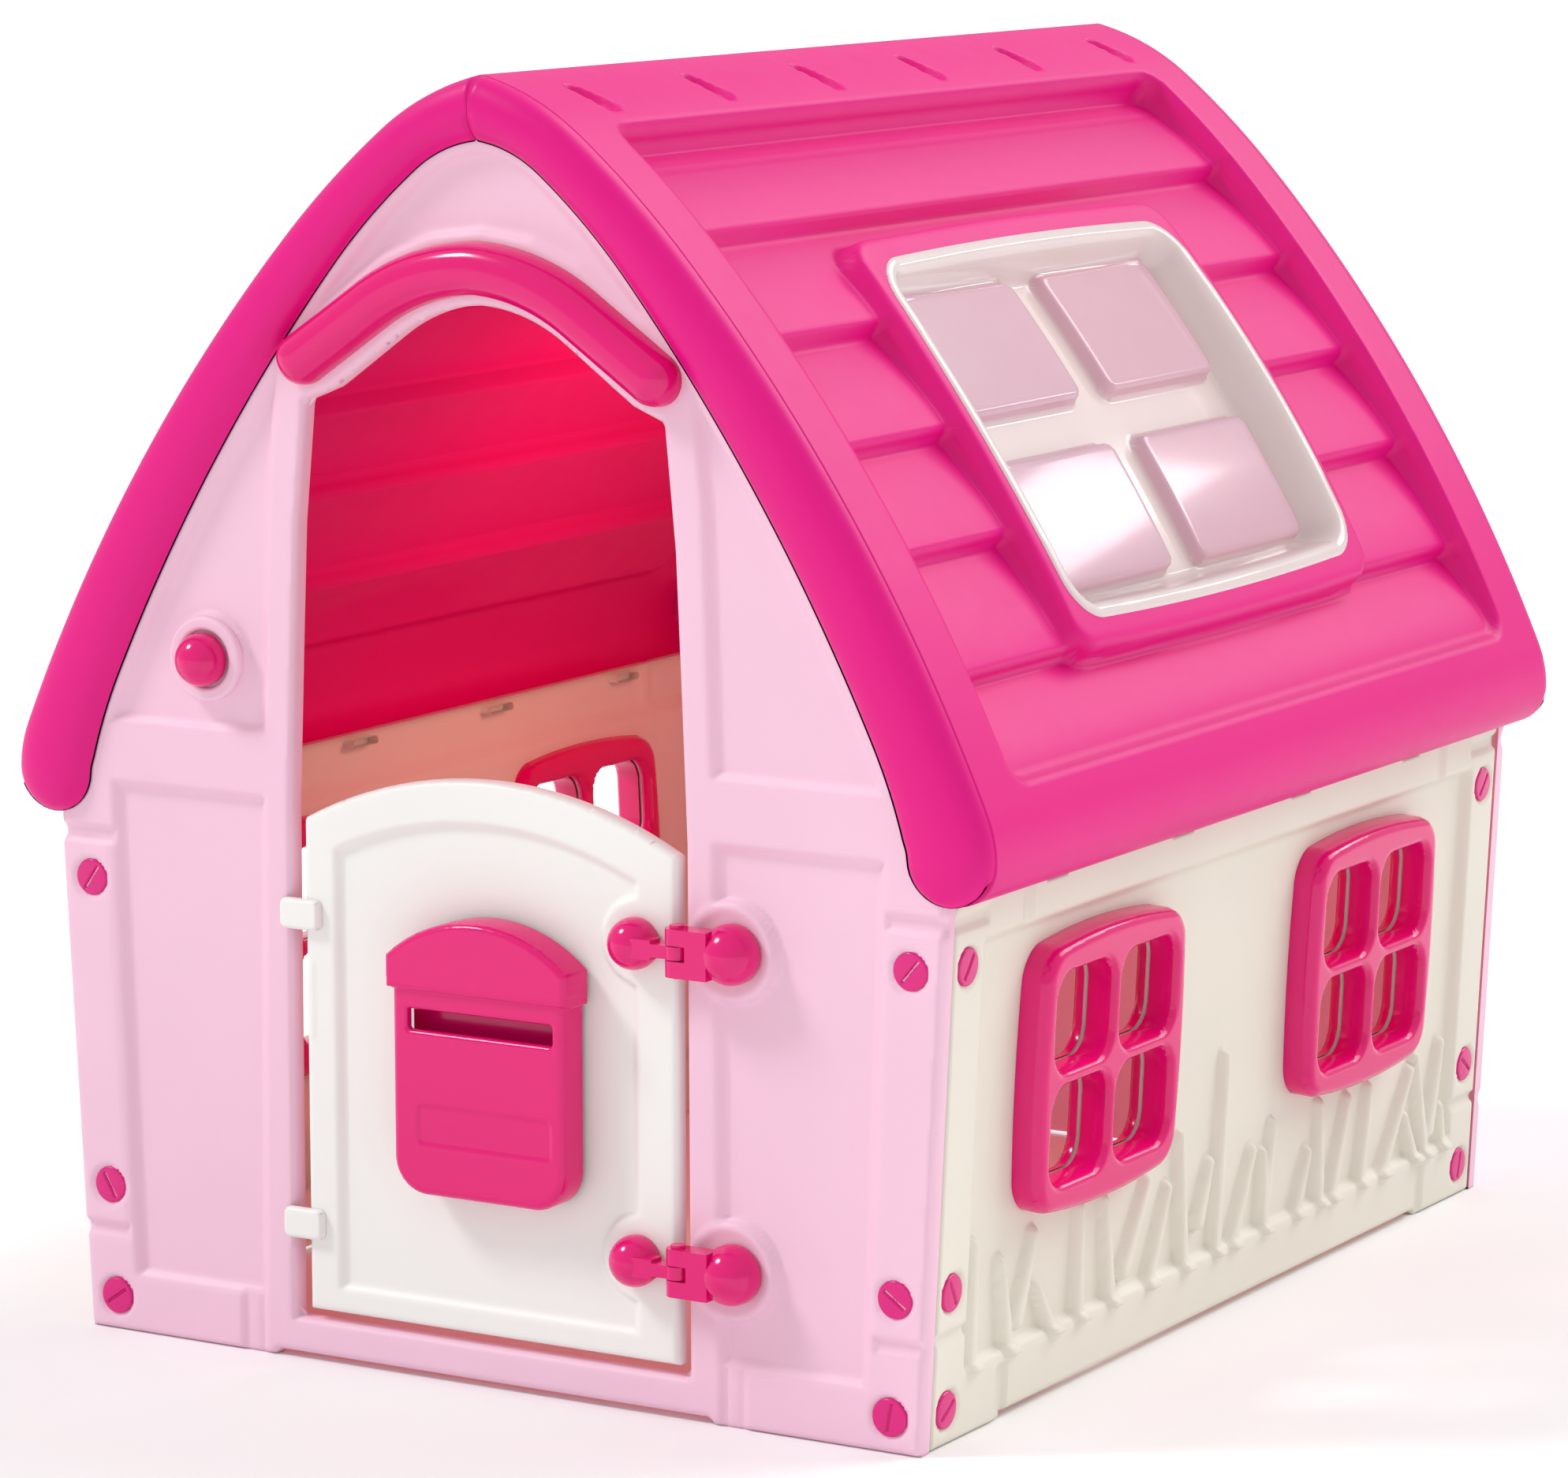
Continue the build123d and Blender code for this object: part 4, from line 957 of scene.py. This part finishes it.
def visor_ring(centre, tangent, squeeze):
    """Section loop of the visor, flat behind."""
    normal = np.array([-tangent[1], tangent[0]])
    out = np.sin(VISOR_TURNS)
    t = rounded(np.cos(VISOR_TURNS), VISOR_POWER) * VISOR_HALF * squeeze
    y = -WALL_Y - 0.5 - np.clip(out, 0, 1) ** VISOR_POWER * VISOR_BULGE * squeeze
    y = np.where(out < 0, -WALL_Y + VISOR_BACK * np.abs(out), y)
    flat = centre + t[:, None] * normal
    return np.stack([flat[:, 0], y, flat[:, 1]], axis=1)


def visor_end(index, way, angles):
    """Loops that round off one end of the visor."""
    return [visor_ring(path[index] + way * tangents[index] * VISOR_HALF * math.sin(angle), tangents[index],
                       max(math.cos(angle), 0.03)) for angle in angles]


path = visor_path()
tangents = np.gradient(path, axis=0)
tangents /= np.linalg.norm(tangents, axis=1)[:, None]
closing = np.linspace(1.0, 0.12, 9) * math.pi / 2
rings = visor_end(0, -1, closing)
rings += [visor_ring(point, tangent, 1.0) for point, tangent in zip(path, tangents)]
rings += visor_end(-1, 1, closing[::-1])
points, faces = sweep(rings)
place_mesh("visor_tube", points, faces, "door_visor", hot_pink)


# ------------------------------------------------------- stage, light, camera

FLOOR_HALF = 200
floor_mesh = bpy.data.meshes.new("floor")
floor_mesh.from_pydata([(x * FLOOR_HALF, y * FLOOR_HALF, 0) for x, y in ((-1, -1), (1, -1), (1, 1), (-1, 1))], [],
                       [(0, 1, 2, 3)])
floor = bpy.data.objects.new("floor", floor_mesh)
bpy.context.scene.collection.objects.link(floor)
pale = bpy.data.materials.new("pale_floor")
pale.use_nodes = True
floor_shader = pale.node_tree.nodes["Principled BSDF"]
floor_shader.inputs["Base Color"].default_value = (0.93, 0.93, 0.93, 1)
floor_shader.inputs["Roughness"].default_value = 0.95
floor_shader.inputs["Specular IOR Level"].default_value = 0.0
floor_mesh.materials.append(pale)

world = bpy.data.worlds.new("studio")
bpy.context.scene.world = world
world.use_nodes = True
world.node_tree.nodes["Background"].inputs["Color"].default_value = (1, 1, 1, 1)
world.node_tree.nodes["Background"].inputs["Strength"].default_value = 0.66


def aim(thing, place, target):
    """Put a lamp or a camera at a place, looking at a target."""
    thing.location = place
    thing.rotation_euler = (Vector(target) - Vector(place)).to_track_quat("-Z", "Y").to_euler()


def lamp(name, kind, place, target, power, colour=(1, 1, 1)):
    """A stage light at a place, aimed at a target."""
    light = bpy.data.lights.new(name, kind)
    light.energy = power
    light.color = colour
    holder = bpy.data.objects.new(name, light)
    bpy.context.scene.collection.objects.link(holder)
    aim(holder, place, target)
    return holder


HOUSE = (0, 0, 0.6)
lamp("key", "SUN", (-6.0, -4.0, 8.1), HOUSE, 1.4).data.angle = math.radians(14)
lamp("rear", "SUN", (3.6, 6.6, 8.0), HOUSE, 1.6).data.angle = math.radians(42)
cabin = lamp("cabin", "POINT", (0, 0.1, 0.72), HOUSE, 4, (1, 0.46, 0.34))
cabin.data.shadow_soft_size = 0.12
cabin.visible_camera = False
cabin.visible_glossy = False
window = lamp("window", "AREA", (2.0, 4.24, 2.62), (0.44, -0.17, 0.86), 4)
window.data.shape = "RECTANGLE"
window.data.size = 0.5
window.data.size_y = 0.35

camera_data = bpy.data.cameras.new("camera")
camera_data.lens = 138.5
camera_data.sensor_width = 36
camera_data.shift_x = -0.020
camera_data.clip_end = 200
camera = bpy.data.objects.new("camera", camera_data)
bpy.context.scene.collection.objects.link(camera)
aim(camera, (2.986, -5.093 + CENTRE_Y * MM, 1.492), (0, CENTRE_Y * MM, 0.523))
bpy.context.scene.camera = camera
bpy.context.scene.view_settings.view_transform = "Standard"
